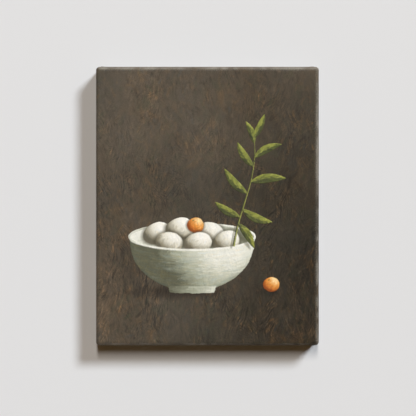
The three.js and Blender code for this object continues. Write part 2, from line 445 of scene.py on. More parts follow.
def stroke(layer, x, z, size, turn, tone, opacity=1.0, bend=0.0, dry=0.5, lift=0.04, mask=None, streak=6.0):
    # One pull of a flat brush: it starts full, follows a shallow curve and runs dry hair by hair
    length, wide = size
    reach = 0.5 * math.hypot(length, wide) + abs(bend) * length * 0.25 + 0.5
    rows, cols = window(x, z, reach)
    if rows.start >= rows.stop or cols.start >= cols.stop:
        return
    dx = easelX[cols][None, :] - x
    dz = easelZ[rows][:, None] - z
    ss = dx * math.cos(turn) + dz * math.sin(turn)
    tt = dz * math.cos(turn) - dx * math.sin(turn) - bend * ss * ss / length
    along = ss / length + 0.5
    across = tt / wide
    hairs = draw.random(26)
    place = np.clip((across + 0.5) * 24, 0, 24)
    first = place.astype(int)
    part = place - first
    hair = hairs[first] * (1 - part) + hairs[first + 1] * part
    body = unit((0.5 - np.abs(across)) * wide / 0.5)
    start = unit((along * length - wide * across ** 2) / (0.4 + 0.05 * length))
    left = (1 - along) * length - wide * (across ** 2 + 0.5 * hair * dry)
    end = unit(left / (0.5 + 0.2 * length))
    load = unit((1.25 - dry * (unit(along) + hair)) * 4)
    alpha = opacity * body * start * end * load
    if mask is not None:
        alpha = alpha * mask[rows, cols]
    shade = np.asarray(tone, float)[None, None, :] + streak * (hair - 0.5)[:, :, None]
    keep = (1 - alpha)[:, :, None]
    layer["tone"][rows, cols] = layer["tone"][rows, cols] * keep + shade * alpha[:, :, None]
    ridge = 0.5 + 0.5 * hair + 0.7 * near(np.abs(across), 0.42, 0.07)
    layer["lift"][rows, cols] = layer["lift"][rows, cols] * (1 - 0.6 * alpha) + alpha * lift * ridge
    layer["cover"][rows, cols] = 1 - (1 - layer["cover"][rows, cols]) * (1 - alpha)


ground = {
    "light": (86, 77, 65),
    "dark": (43, 37, 27),
    "passes": [  # how many, length, width, opacity, and how strong their tint is
        (2300, (10, 24), (4.0, 8.0), (0.25, 0.55), 0.7),
        (5600, (4, 13), (1.1, 2.8), (0.35, 0.80), 1.0),
        (1500, (1.5, 5), (0.5, 1.0), (0.40, 0.85), 1.5),
    ],
    "tints": [  # rust, moss, slate, dark and tan, set against the tone under them
        (13, 6, -2), (-7, -1, -4), (-4, 1, 6), (-15, -14, -12), (15, 13, 10),
    ],
    "warm": (3.5, 0.5, -2.0),
    "shadow": (34, 27, 20),
}


def groundTone():
    # Dark towards the lower right, and warmer at the lower left and along both edges
    across, down = meshX / picture["halfWide"], -meshZ / picture["halfTall"]
    right, left = smooth(across, -0.35, 1.05), smooth(-across, 0.3, 1.0) * smooth(down, -0.1, 0.7)
    shade = 0.06 + 0.94 * right * smooth(down, -1.5, 0.45)
    shade = shade + 0.23 * smooth(-meshZ, -80, 0) * (1 - right) * (1 - 0.8 * left)
    shade = unit(shade + 0.12 * cloud(38, 5) + 0.07 * cloud(17, 6))[:, :, None]
    tone = np.array(ground["light"]) * (1 - shade) + np.array(ground["dark"]) * shade
    edge = smooth(-across, 0.75, 0.95) * near(meshZ, 45, 32)
    edge = edge + smooth(across, 0.45, 0.9) * smooth(down, 0.1, 0.6)
    warmth = cloud(46, 7) * 0.6 + 0.55 * left + 0.9 * edge
    return tone + warmth[:, :, None] * np.array(ground["warm"])


def rustShare():
    # Where the warm underpaint shows through more
    corner = smooth(-meshX / picture["halfWide"], 0.1, 0.9) * smooth(-meshZ / picture["halfTall"], 0.0, 0.9)
    return np.clip(0.24 + 0.34 * cloud(30, 61) + 0.26 * cloud(11, 62) + 0.18 * corner, 0.02, 0.9)


def paintGround():
    tone = groundTone()
    layer = newLayer(tone)
    rust, lean = rustShare(), math.pi / 2 + 0.7 * cloud(42, 63)
    tints = np.array(ground["tints"], float)
    for count, long, wide, opacity, strong in ground["passes"]:
        for i in range(count):
            x = draw.uniform(easelX[0], easelX[-1])
            z = draw.uniform(easelZ[0], easelZ[-1])
            row = min(int((z - easelZ[0]) / easel["step"]), len(easelZ) - 1)
            col = min(int((x - easelX[0]) / easel["step"]), len(easelX) - 1)
            warm = rust[row, col]
            shares = np.cumsum([0.08 + 0.8 * warm, 0.34 * (1 - warm), 0.16 * (1 - warm), 0.22, 0.18])
            tint = tints[int(np.searchsorted(shares / shares[-1], draw.random()))]
            tint = tint * draw.uniform(0.3, 1.2) * (0.8 + 0.8 * warm)
            size = (draw.uniform(*long), draw.uniform(*wide))
            stroke(
                layer, x, z, size, lean[row, col] + draw.normal(0, 0.45), tone[row, col] + tint * strong,
                opacity=draw.uniform(*opacity), bend=draw.uniform(-0.5, 0.5), dry=draw.uniform(0.5, 1.2),
                lift=draw.uniform(0.02, 0.05),
            )
    return layer


wearAndHighlight = {  # how much each side is rubbed and lightened, as real wear and as a painted highlight, and where past the start of its fold, in millimetres
    "share": 0.34, "left": 0.45, "right": 0.96, "top": 1.1, "bottom": 1.05,
    "spared": (36, 24, 0.42),  # the bottom is rubbed and lightened less here: its middle, its width and how much less
    "at": 2.1, "wide": 2.2, "atBottom": 3.0, "wideBottom": 1.8,
    "behind": 0.4, "pastBack": 0.7, "wideBehind": 0.8,
}


def wearAndHighlightShare():
    # How far the paint is rubbed through to the primer along the folds, partly real wear and partly a painted
    # highlight: the top, bottom and right folds are lightened more than the left, and the lower one is
    # lightened where it faces down, into its shade
    past = np.maximum(
        np.abs(meshX) - picture["halfWide"] + cloth["frontRadius"],
        np.abs(meshZ) - picture["halfTall"] + cloth["frontRadius"],
    )
    fleck = unit(0.72 + 0.30 * cloud(5, 12) + 0.20 * cloud(23, 11))
    across = np.abs(meshX) - picture["halfWide"] > np.abs(meshZ) - picture["halfTall"]
    below = ~across & (meshZ < 0)
    middle, wide, less = wearAndHighlight["spared"]
    upright = np.where(below, wearAndHighlight["bottom"] - less * near(meshX, middle, wide), wearAndHighlight["top"])
    handledAndLit = np.where(across, np.where(meshX > 0, wearAndHighlight["right"], wearAndHighlight["left"]), upright)
    at = np.where(below, wearAndHighlight["atBottom"], wearAndHighlight["at"])
    crease = near(past, at, np.where(below, wearAndHighlight["wideBottom"], wearAndHighlight["wide"]))
    crease = crease * fleck * handledAndLit * wearAndHighlight["share"]
    behind = near(past, cloth["toBack"] + wearAndHighlight["pastBack"], wearAndHighlight["wideBehind"]) * fleck * wearAndHighlight["behind"]
    return np.maximum(crease, behind)


# A still life in the place of the picture: eggs and a small orange in a pale bowl, and a leafy twig

bowl = {
    "x": -14.0,
    "rim": -28.0,
    "half": 57.0,
    "lip": 12.0,
    "deep": 50.0,
    "body": 46.0,
    "footHalf": 21.5,
    "footDeep": 4.2,
    "tones": [(88, 88, 70), (160, 163, 142), (218, 218, 203), (243, 241, 231)],
    "light": (0.52, 0.70, 0.49),
    "passes": [  # how many, length, width, opacity and unrest
        (240, (16, 34), (3.0, 6.5), (0.30, 0.60), 0.22),
        (1100, (6, 20), (0.8, 2.0), (0.35, 0.85), 0.12),
        (260, (3, 9), (0.6, 1.3), (0.40, 0.90), 0.9),
    ],
}
eggs = {
    # the middle, the two half widths and the lean of each
    "back": [
        (-46.0, -25.0, 13.0, 9.8, 0.35), (2.0, -24.5, 13.0, 10.0, -0.3), (-25.0, -20.5, 13.2, 10.0, 0.1),
    ],
    "front": [
        (-35.0, -33.0, 12.6, 9.4, -0.2), (17.0, -32.0, 12.4, 9.2, 0.3), (-9.0, -33.5, 13.0, 9.4, 0.15),
    ],
    "tones": [(82, 76, 60), (158, 152, 132), (221, 217, 201), (246, 243, 234)],
}
fruit = {
    "place": (-11.0, -17.5, 7.6, 7.0, 0.0),
    "loose": (58.0, -71.5, 7.6, 6.8, 0.0),
    "tones": [(120, 58, 24), (186, 108, 42), (220, 146, 66), (246, 214, 158)],
}
twig = {
    "points": [(24.0, -36.0), (28.0, -16.0), (34.0, 4.0), (40.0, 25.0), (43.0, 46.0), (42.5, 62.0)],
    "leaves": [
        (0.26, 2.60, 27.0, 7.5), (0.33, -0.40, 30.0, 8.2), (0.47, 2.30, 31.0, 8.0), (0.57, 0.10, 33.0, 8.6),
        (0.70, 2.15, 27.0, 7.2), (0.78, 0.45, 28.0, 7.6), (0.92, 1.95, 22.0, 6.2), (1.00, 1.15, 24.0, 6.4),
        (0.20, -1.00, 27.0, 7.6),
    ],
    "tones": [(50, 52, 37), (84, 90, 48), (138, 142, 64), (178, 178, 104)],
    "steps": 90,
    "wide": (2.3, 1.2),  # at its foot and at its tip
    "edges": [(-0.28, 0.12), (0.25, 0.75)],  # how far off its middle, and how light
    "shade": (84, 82, 62),
}


def tonesAt(value, tones):
    places = np.linspace(0, 1, len(tones))
    return np.stack([np.interp(value, places, [tone[i] for tone in tones]) for i in range(3)], axis=-1)


def soft(distance, wide=0.5):
    return unit(distance / wide + 0.5)


def shadeOver(layer, share, tone):
    share = share[:, :, None]
    layer["tone"] = layer["tone"] * (1 - share) + np.array(tone) * share


def fill(layer, mask, tone, lift):
    # A thin even coat under the strokes
    shadeOver(layer, mask, tone)
    layer["lift"] = layer["lift"] * (1 - mask) + lift * mask
    layer["cover"] = 1 - (1 - layer["cover"]) * (1 - mask)


def bowlHalf(z):
    q = unit((bowl["rim"] - z) / bowl["deep"])
    return bowl["half"] * (1 - q ** 2.4) ** 0.55


def rimArc(x):
    return bowl["lip"] * np.sqrt(unit(1 - ((x - bowl["x"]) / bowl["half"]) ** 2))


def bowlMasks(wobble):
    dx = meshX - bowl["x"]
    body = soft(bowlHalf(meshZ) - np.abs(dx) + wobble)
    body *= soft(bowl["rim"] - rimArc(meshX) - meshZ + 0.6)
    body *= soft(meshZ - bowl["rim"] + bowl["body"])
    foot = soft(bowl["footHalf"] - np.abs(dx) + wobble - 0.25 * (bowl["rim"] - bowl["body"] - meshZ))
    bottom = bowl["rim"] - bowl["body"] - bowl["footDeep"] - 1.6 * np.sqrt(
        unit(1 - (dx / bowl["footHalf"]) ** 2))
    foot *= soft(meshZ - bottom + wobble) * soft(bowl["rim"] - bowl["body"] + 1.0 - meshZ)
    ring = (dx / bowl["half"]) ** 2 + ((meshZ - bowl["rim"]) / bowl["lip"]) ** 2
    steep = 2 * np.sqrt((dx / bowl["half"] ** 2) ** 2 + ((meshZ - bowl["rim"]) / bowl["lip"] ** 2) ** 2)
    away = (ring - 1) / np.maximum(steep, 0.004)
    return body, foot, soft(-away + wobble), soft(0.9 - np.abs(away) + 0.5 * wobble)


def bodyValue(x, z):
    # How light the outside of the bowl is, with the light from the upper right
    side = np.clip((x - bowl["x"]) / np.maximum(bowlHalf(z), 6), -1, 1)
    down = unit((bowl["rim"] - z) / bowl["deep"])
    nx, nz = 0.92 * side, -0.10 - 0.72 * down ** 1.5
    ny = np.sqrt(unit(1 - nx ** 2))
    size = np.sqrt(nx ** 2 + ny ** 2 + nz ** 2)
    light = bowl["light"]
    lit = unit((nx * light[0] + ny * light[1] + nz * light[2]) / size)
    bounce = 0.10 * unit(-side) ** 3 + 0.10 * down ** 4
    return unit(1.50 * lit - 0.33 + bounce)


def footValue(x):
    return 0.32 + 0.30 * (x - bowl["x"]) / bowl["footHalf"]


def paintBody(layer, body, foot):
    fill(layer, body, tonesAt(bodyValue(meshX, meshZ), bowl["tones"]), 0.08)
    for count, long, wide, opacity, unrest in bowl["passes"]:
        for i in range(count):
            z = bowl["rim"] - bowl["body"] * draw.random() ** 0.8 - draw.random() * 3
            half = float(bowlHalf(z))
            side = draw.uniform(-0.98, 0.98)
            x = bowl["x"] + half * side
            sag = bowl["lip"] * (1 - 0.4 * (bowl["rim"] - z) / bowl["deep"])
            flat = math.sqrt(1 - side ** 2)
            slope = math.atan2(sag * side, half * max(flat, 0.2)) + draw.normal(0, unrest)
            z = z - sag * flat * 0.4
            value = float(unit(bodyValue(x, z) + draw.normal(0, 0.05)))
            tone = tonesAt(value, bowl["tones"]) + draw.normal(0, 3.5) * np.array([1.0, 0.2, -1.0])
            size = (draw.uniform(*long) * (0.4 + 0.6 * flat), draw.uniform(*wide))
            stroke(
                layer, x, z, size, slope, tone, opacity=draw.uniform(*opacity), bend=0.14,
                dry=draw.uniform(0.6, 1.3), lift=0.05 + 0.12 * value, mask=body, streak=9.0,
            )
    for i in range(90):
        side, drop = draw.uniform(0.15, 0.86), draw.uniform(5, 24)
        x, z = bowl["x"] + bowl["half"] * side, bowl["rim"] - rimArc(bowl["x"] + bowl["half"] * side) - drop
        tone = tonesAt(float(unit(bodyValue(x, z) + 0.14)), bowl["tones"])
        stroke(
            layer, x, z, (draw.uniform(5, 14), draw.uniform(0.8, 1.8)), 0.28 * side + draw.normal(0, 0.1),
            tone, opacity=draw.uniform(0.5, 0.95), bend=0.14, dry=1.0, lift=0.22, mask=body, streak=8.0,
        )
    fill(layer, foot, tonesAt(footValue(meshX), bowl["tones"]), 0.08)
    for i in range(60):
        x = bowl["x"] + bowl["footHalf"] * draw.uniform(-1, 1)
        z = bowl["rim"] - bowl["body"] - bowl["footDeep"] * draw.random()
        value = footValue(x) + draw.normal(0, 0.06)
        stroke(
            layer, x, z, (draw.uniform(5, 10), 1.8), draw.normal(0, 0.08), tonesAt(value, bowl["tones"]),
            opacity=0.8, dry=0.5, lift=0.09, mask=foot, streak=8.0,
        )


def insideValue(x, z):
    side = (x - bowl["x"]) / bowl["half"]
    return unit(0.50 - 0.34 * side + 0.16 * (z - bowl["rim"]) / bowl["lip"])


def paintInside(layer, inside):
    fill(layer, inside, tonesAt(insideValue(meshX, meshZ), bowl["tones"]), 0.05)
    for i in range(170):
        x = bowl["x"] + bowl["half"] * draw.uniform(-1, 1)
        z = bowl["rim"] + bowl["lip"] * draw.uniform(-1, 1)
        side = (x - bowl["x"]) / bowl["half"]
        value = float(insideValue(x, z)) + draw.normal(0, 0.05)
        slope = -math.atan2(bowl["lip"] * side, bowl["half"])
        stroke(
            layer, x, z, (draw.uniform(8, 18), draw.uniform(1.8, 3.6)), slope, tonesAt(value, bowl["tones"]),
            opacity=0.75, bend=-0.1, dry=0.6, lift=0.07, mask=inside, streak=8.0,
        )


def paintRim(layer, rim):
    side = (meshX - bowl["x"]) / bowl["half"]
    value = 0.80 + 0.12 * (bowl["rim"] - meshZ) / bowl["lip"] + 0.16 * side
    fill(layer, rim, tonesAt(unit(value), bowl["tones"]), 0.14)
    for i in range(210):
        angle = draw.uniform(0, 2 * math.pi)
        x = bowl["x"] + bowl["half"] * math.cos(angle)
        z = bowl["rim"] + bowl["lip"] * math.sin(angle)
        slope = math.atan2(bowl["lip"] * math.cos(angle), -bowl["half"] * math.sin(angle))
        value = 0.80 - 0.14 * math.sin(angle) + 0.14 * math.cos(angle) + draw.normal(0, 0.07)
        stroke(
            layer, x, z, (draw.uniform(5, 11), 1.9), slope, tonesAt(value, bowl["tones"]), opacity=0.8,
            dry=0.6, lift=0.18, mask=rim, streak=8.0,
        )


rounds = {
    "light": (0.46, 0.62, 0.62), "dark": 0.13, "gain": 0.86, "least": 0.08, "most": 0.97,
    "dusk": (62, 58, 44), "duskShare": 0.55,
}


def roundValue(nx, nz, ny, unrest=0.0):
    light = rounds["light"]
    lit = light[0] * nx + light[1] * nz + light[2] * ny
    return np.clip(rounds["dark"] + rounds["gain"] * lit + unrest, rounds["least"], rounds["most"])


def paintRound(layer, place, tones, limit, strokes, shine):
    # An egg or a fruit: a round form with a soft shadow round it and short curved strokes
    x0, z0, rx, rz, turn = place
    px = (meshX - x0) * math.cos(turn) + (meshZ - z0) * math.sin(turn)
    pz = (meshZ - z0) * math.cos(turn) - (meshX - x0) * math.sin(turn)
    away = np.sqrt((px / rx) ** 2 + (pz / (rz * (1 + 0.10 * px / rx))) ** 2)
    dusk = rounds["duskShare"] * (1 - smooth(away, 0.95, 1.3)) * limit * (layer["cover"] > 0.3)
    shadeOver(layer, dusk, rounds["dusk"])
    mask = soft((1 - away) * min(rx, rz) + 0.2 * cloud(2.5, 33)) * limit
    nx, nz = (meshX - x0) / rx, (meshZ - z0) / rz
    ny = np.sqrt(unit(1 - away ** 2))
    fill(layer, mask, tonesAt(roundValue(nx, nz, ny), tones), 0.12)
    for i in range(strokes):
        angle, far = draw.uniform(0, 2 * math.pi), math.sqrt(draw.random())
        sx, sz = math.cos(angle) * far, math.sin(angle) * far
        value = roundValue(sx, sz, math.sqrt(max(1 - far * far, 0)), draw.normal(0, 0.05))
        tone = tonesAt(value, tones) + draw.normal(0, 3.0) * np.array([1.0, 0.3, -0.8])
        stroke(
            layer, x0 + sx * rx, z0 + sz * rz, (draw.uniform(3, 8), draw.uniform(0.9, 2.4)),
            angle + math.pi / 2 + draw.normal(0, 0.2), tone, opacity=draw.uniform(0.35, 0.8), bend=0.45,
            dry=0.8, lift=0.13, mask=mask, streak=9.0,
        )
    stroke(
        layer, x0 + 0.32 * rx, z0 + 0.42 * rz, (shine, 1.5), 0.35, tones[3], opacity=0.85, dry=0.4,
        lift=0.24, mask=mask,
    )


def paintStalk(layer, place):
    x0, z0, rx, rz = place[:4]
    x, z = x0 - 0.25 * rx, z0 + 0.62 * rz
    stroke(layer, x, z, (2.2, 1.3), 0.3, twig["tones"][1], opacity=0.95, dry=0.1, lift=0.16)


def stepped(x, z, turn, ahead, aside=0.0):
    # A point so far ahead of another and to its left
    return (
        x + ahead * math.cos(turn) - aside * math.sin(turn),
        z + ahead * math.sin(turn) + aside * math.cos(turn),
    )


def twigPoint(t):
    # A point and a heading on the smooth line through the twig's points
    points = np.array(twig["points"])
    place = t * (len(points) - 1)
    i = min(int(place), len(points) - 2)
    f = place - i
    before = points[max(i - 1, 0)]
    a, b = points[i], points[i + 1]
    after = points[min(i + 2, len(points) - 1)]
    spot = 0.5 * (2 * a + (b - before) * f + (2 * before - 5 * a + 4 * b - after) * f * f
                  + (3 * a - before - 3 * b + after) * f ** 3)
    ahead = 0.5 * ((b - before) + 2 * (2 * before - 5 * a + 4 * b - after) * f
                   + 3 * (3 * a - before - 3 * b + after) * f * f)
    return spot, math.atan2(ahead[1], ahead[0])


def paintTwig(layer):
    foot, tip = twig["wide"]
    for i in range(twig["steps"]):
        t = (i + 0.5) / twig["steps"]
        spot, heading = twigPoint(t)
        wide = foot + (tip - foot) * t
        for off, value in twig["edges"]:
            x, z = stepped(*spot, heading, 0.0, -off * wide)
            tone = tonesAt(value + draw.normal(0, 0.06), twig["tones"])
            size = (3.6, max(wide * 0.62, 0.8))
            stroke(layer, x, z, size, heading, tone, opacity=0.95, dry=0.2, lift=0.12)


def paintLeaf(layer, root, turn, length, wide):
    bend = draw.uniform(-0.35, 0.35)
    x0, z0 = stepped(*root, turn, length / 2)
    dx, dz = meshX - x0, meshZ - z0
    ss = dx * math.cos(turn) + dz * math.sin(turn)
    tt = dz * math.cos(turn) - dx * math.sin(turn) - bend * (ss * ss / length - length / 4)
    along = unit(ss / length + 0.5)
    half = 0.5 * wide * np.sin(math.pi * along ** 0.85) ** 0.8
    inside = soft(half - np.abs(tt), 0.45) * (np.abs(ss) < length / 2)
    upper = 1.0 if math.cos(turn) > 0 else -1.0
    coat = np.where(tt * upper > 0, 0.52, 0.22) + 0.18 * (along - 0.5)
    fill(layer, inside, tonesAt(coat, twig["tones"]), 0.08)
    for i in range(int(length * 2.6)):
        s = draw.uniform(-0.5, 0.5)
        side = draw.uniform(-0.5, 0.5)
        x, z = stepped(x0, z0, turn, s * length, side * wide * 0.9 + bend * length * (s * s - 0.25))
        lit = 0.62 if side * upper > 0 else 0.26
        value = min(max(lit + 0.22 * s + draw.normal(0, 0.09), 0), 1)
        lean = turn + 0.35 * (1 if side > 0 else -1) + 2 * bend * s
        stroke(
            layer, x, z, (draw.uniform(4, 8), draw.uniform(1.2, 2.2)), lean, tonesAt(value, twig["tones"]),
            opacity=0.92, dry=0.4, lift=0.10, mask=inside, streak=9.0,
        )
    for i in range(6):
        s = -0.42 + 0.15 * i
        x, z = stepped(x0, z0, turn, s * length, bend * length * (s * s - 0.25))
        tone = tonesAt(0.92 - 0.05 * i, twig["tones"])
        size, lean = (length * 0.19, 0.8), turn + 2 * bend * s
        stroke(layer, x, z, size, lean, tone, opacity=0.75, lift=0.13, mask=inside)


shadows = [  # the middle, the two half widths and how dark each is
    (bowl["x"] - 12, -78.5, 46, 6.5, 0.42),
    (bowl["x"] - 4, -77.0, 26, 4.2, 0.40),
    (fruit["loose"][0] - 4, fruit["loose"][1] - 6.2, 11, 3.2, 0.42),
    (bowl["x"] - 58, -52.0, 15, 26, 0.16),
]


def paintShadows(layer):
    # Soft dark under the bowl and the loose fruit, thrown down to the left
    for x, z, rx, rz, dark in shadows:
        away = np.sqrt(((meshX - x) / rx) ** 2 + ((meshZ - z) / rz) ** 2)
        shade = dark * (1 - smooth(away + 0.12 * cloud(6, 21), 0.35, 1.35))
        shadeOver(layer, shade, ground["shadow"])


def shadeTwig(layer):
    # The foot of the twig and its lowest leaf darken what they stand on
    soften = {"dry": 0.1, "lift": 0.05, "mask": layer["cover"], "streak": 2.0}
    dark = twig["shade"]
    for i in range(26):
        (x, z), heading = twigPoint(0.30 * i / 25)
        stroke(layer, x - 2.3, z - 1.2, (4.0, 2.6), heading, dark, opacity=0.22, **soften)
    root, turn, length = twig["leaves"][-1][:3]
    spot = twigPoint(root)[0]
    for i in range(16):
        x, z = stepped(spot[0] - 3.0, spot[1] - 1.6, turn, length * (0.12 + 0.80 * i / 15))
        wide = 5.6 * math.sin(math.pi * (0.12 + 0.76 * i / 15))
        stroke(layer, x, z, (4.5, wide), turn, dark, opacity=0.26, **soften)


def paintPicture():
    base = paintGround()
    paintShadows(base)
    wobble = 0.35 * cloud(3.5, 31) + 0.2 * cloud(1.2, 32)
    body, foot, inside, rim = bowlMasks(wobble)
    dish = newLayer(base["tone"])
    paintInside(dish, inside)
    backRim = rim * (meshZ > bowl["rim"])
    paintRim(dish, backRim)
    above = soft(meshZ - bowl["rim"] + rimArc(meshX))
    for place in eggs["back"]:
        paintRound(dish, place, eggs["tones"], above, 70, 5.0)
    paintRound(dish, fruit["place"], fruit["tones"], above, 60, 2.6)
    paintStalk(dish, fruit["place"])
    for place in eggs["front"]:
        paintRound(dish, place, eggs["tones"], above, 70, 5.0)
    paintBody(dish, body, foot)
    paintRim(dish, rim - backRim)
    shadeTwig(dish)
    loose = newLayer(base["tone"])
    paintRound(loose, fruit["loose"], fruit["tones"], np.ones(meshX.shape), 70, 2.6)
    paintStalk(loose, fruit["loose"])
    sprig = newLayer(dish["tone"])
    paintTwig(sprig)
    for t, turn, length, wide in twig["leaves"]:
        paintLeaf(sprig, twigPoint(t)[0], turn, length, wide)
    print("painting worked out")
    return base, dish, loose, sprig


# The canvas: one sheet from the painted front, round the bars, to the cut edge behind them

turnedUp = Matrix.Rotation(math.pi / 2, 4, "X")  # a grid that lies flat stands up and faces the viewer
weave = {"pitch": 0.00062, "deep": 0.00007, "sway": 0.22, "wave": 0.15, "ragged": 0.35, "shows": 0.55}


def pick(values, u, v):
    # The value of the flat sheet at a place between its points
    i = np.clip((u - easelX[0]) / easel["step"], 0, len(easelX) - 1.001)
    j = np.clip((v - easelZ[0]) / easel["step"], 0, len(easelZ) - 1.001)
    left, low = i.astype(int), j.astype(int)
    s, t = i - left, j - low
    if values.ndim == 3:
        s, t = s[:, None], t[:, None]
    lower = values[low, left] * (1 - s) + values[low, left + 1] * s
    upper = values[low + 1, left] * (1 - s) + values[low + 1, left + 1] * s
    return lower * (1 - t) + upper * t


def clothRings():
    # Inset from the outline, depth behind the front, length along the cloth, and 1 on its inner side
    r, b, strip, thick = (cloth[key] for key in ("frontRadius", "backRadius", "fold", "thick"))
    deep = picture["deep"]
    rings = [(0, 0, 0, 0)]
    for i in range(1, cloth["arcRings"] + 1):
        a = math.pi / 4 * (1 + i / cloth["arcRings"])
        rings.append((r - r * math.sin(a), r - r * math.cos(a), r * a, 0))
    for i in range(1, cloth["sideRings"] + 1):
        down = cloth["side"] * i / cloth["sideRings"]
        rings.append((0, r + down, r * math.pi / 2 + down, 0))
    for i in range(1, cloth["backRings"] + 1):
        a = math.pi / 2 * i / cloth["backRings"]
        rings.append((b - b * math.cos(a), deep - b + b * math.sin(a), cloth["toBack"] + b * a, 0))
    for i in range(1, cloth["foldRings"] + 1):
        inset = b + (strip - b) * i / cloth["foldRings"]
        rings.append((inset, deep, cloth["toFold"] + inset - b, 0))
    rings.append((strip, deep - thick / 2, cloth["path"] + thick / 2, 1))
    rings.append((strip, deep - thick, cloth["path"] + thick, 1))
    inner = b + thick
    for i in range(1, 5):
        inset = strip - (strip - inner) * i / 4
        rings.append((inset, deep - thick, cloth["toFold"] + inset - b, 2))
    rings.append((thick, deep - b - thick, cloth["toBack"], 2))
    for i in range(1, 5):
        down = cloth["side"] * (1 - i / 4) - thick * (i < 4)
        rings.append((thick, r + down, r * math.pi / 2 + down, 2))
    for i in range(1, 4):
        a = math.pi / 2 * (1 - i / 3)
        rings.append((r - (r - thick) * math.sin(a), r - (r - thick) * math.cos(a), r * a, 2))
    return np.array(rings)


def clothBlank(rings):
    # A flat grid for the front, then ring after ring of its border, all closed by one face behind
    shape = bmesh.new()
    bmesh.ops.create_grid(
        shape, x_segments=cloth["across"], y_segments=cloth["up"], size=1.0, matrix=turnedUp)
    border = [edge for edge in shape.edges if edge.is_boundary]
    for i in range(1, len(rings)):
        made = bmesh.ops.extrude_edge_only(shape, edges=border)["geom"]
        fresh = vertsOf(made)
        kept = set(fresh)
        bmesh.ops.translate(shape, vec=(0, 1, 0), verts=fresh)
        border = [item for item in made if isinstance(item, bmesh.types.BMEdge)
                  and item.verts[0] in kept and item.verts[1] in kept]
    bmesh.ops.contextual_create(shape, geom=border)
    bmesh.ops.recalc_face_normals(shape, faces=shape.faces)
    return meshFrom(shape, "canvas_sheet")


def wrap(box, rings):
    # Where each point of the blank comes on the wrapped sheet, and on the sheet laid flat
    halfX, halfZ = picture["halfWide"], picture["halfTall"]
    r, rc = cloth["frontRadius"], cloth["cornerRadius"]
    across, up = box[:, 0] * halfX, box[:, 2] * halfZ
    ring = np.rint(box[:, 1]).astype(int)
    m = np.where(ring == 0, np.minimum(halfX - np.abs(across), halfZ - np.abs(up)), 0)
    a = math.pi / 4 * (1 - unit(m / r))
    inset = np.where(ring == 0, np.where(m < r, r - r * np.sin(a), m), rings[ring, 0])
    depth = np.where(ring == 0, r - r * np.cos(a), rings[ring, 1])
    path = np.where(ring == 0, r * a, rings[ring, 2])
    turning = (ring > 0) | (m < r)
    px = np.where(turning, across * (halfX - inset) / np.maximum(halfX - m, 1e-6), across)
    pz = np.where(turning, up * (halfZ - inset) / np.maximum(halfZ - m, 1e-6), up)
    bend = np.where(ring == 0, np.maximum(rc - inset, 0), np.maximum(rc - inset, 0.4))
    cx = np.abs(px) - (halfX - inset - bend)
    cz = np.abs(pz) - (halfZ - inset - bend)
    corner = (cx > 0) & (cz > 0) & (bend > 0)
    size = np.hypot(cx, cz) + 1e-9
    wayX, wayZ = cx / size, cz / size
    sx, sz = np.sign(px), np.sign(pz)
    px = np.where(corner, sx * (halfX - inset - bend + bend * wayX), px)
    pz = np.where(corner, sz * (halfZ - inset - bend + bend * wayZ), pz)
    turn = np.arctan2(wayZ, wayX)
    out = halfX - r + path, halfZ - r + path
    byX = halfX - np.abs(across) <= halfZ - np.abs(up)
    arcX = np.where(corner, sx * (halfX - rc + rc * (math.pi / 2 - turn)), px)
    arcZ = np.where(corner, sz * (halfZ - rc + rc * turn), pz)
    reach = rc - r + path
    frontU = np.where(corner, sx * (halfX - rc + reach * wayX), np.where(turning & byX, sx * out[0], px))
    frontV = np.where(corner, sz * (halfZ - rc + reach * wayZ), np.where(turning & ~byX, sz * out[1], pz))
    first = ring <= cloth["arcRings"]
    sampleU = np.where(first, frontU, np.where(byX, sx * out[0], arcX))
    sampleV = np.where(first, frontV, np.where(byX, arcZ, sz * out[1]))
    return {
        "ring": ring, "side": rings[ring, 3], "inset": inset, "depth": depth, "x": px, "z": pz,
        "front": (frontU, frontV), "byX": (sx * out[0], arcZ), "byZ": (arcX, sz * out[1]),
        "sample": (sampleU, sampleV),
    }


def waves(spot):
    # The turned-over strip lies a little uneven between the staples, and its edge was cut by hand
    share = unit((spot["inset"] - 3) / 9) * (spot["depth"] > picture["deep"] - 1)
    high = weave["wave"] * pick(cloud(11, 51), spot["x"], spot["z"]) * share
    cut = unit((spot["inset"] - 13) / 3) * (spot["depth"] > picture["deep"] - 1)
    ragged = weave["ragged"] * (pick(cloud(19, 52), spot["x"], spot["z"])
                                + 0.4 * pick(cloud(2.4, 53), spot["x"], spot["z"])) * cut
    sideways = np.abs(spot["x"]) / picture["halfWide"] > np.abs(spot["z"]) / picture["halfTall"]
    x = spot["x"] - np.where(sideways, np.sign(spot["x"]) * ragged, 0)
    z = spot["z"] - np.where(sideways, 0, np.sign(spot["z"]) * ragged)
    return x, spot["depth"] + high, z


def setPoints(mesh, x, depth, z):
    spots = np.stack([x * mm, (picture["front"] + depth) * mm, (z + picture["middle"]) * mm], axis=1)
    mesh.vertices.foreach_set("co", spots.astype(np.float32).ravel())
    mesh.update()


def setPaint(mesh, tones, weaveShown):
    # The colour of each point, and in its fourth number how much of the weave shows
    shade = toLinear(np.clip(tones, 0, 255) / 255) * easel["gain"]
    values = np.concatenate([shade, weaveShown[:, None]], axis=1).astype(np.float32)
    layer = mesh.attributes.new("paint", "FLOAT_COLOR", "POINT")
    layer.data.foreach_set("color", values.ravel())


def setMap(mesh, name, u, v):
    layer = mesh.uv_layers.new(name=name)
    layer.data.foreach_set("uv", np.stack([u, v], axis=1).astype(np.float32).ravel())


def perFace(values, faces, count, how):
    found = np.full(count, -np.inf)
    np.maximum.at(found, faces, values if how == "most" else -values)
    return found if how == "most" else -found


unfolded = {"innerScale": 0.35, "gap": 2.0}


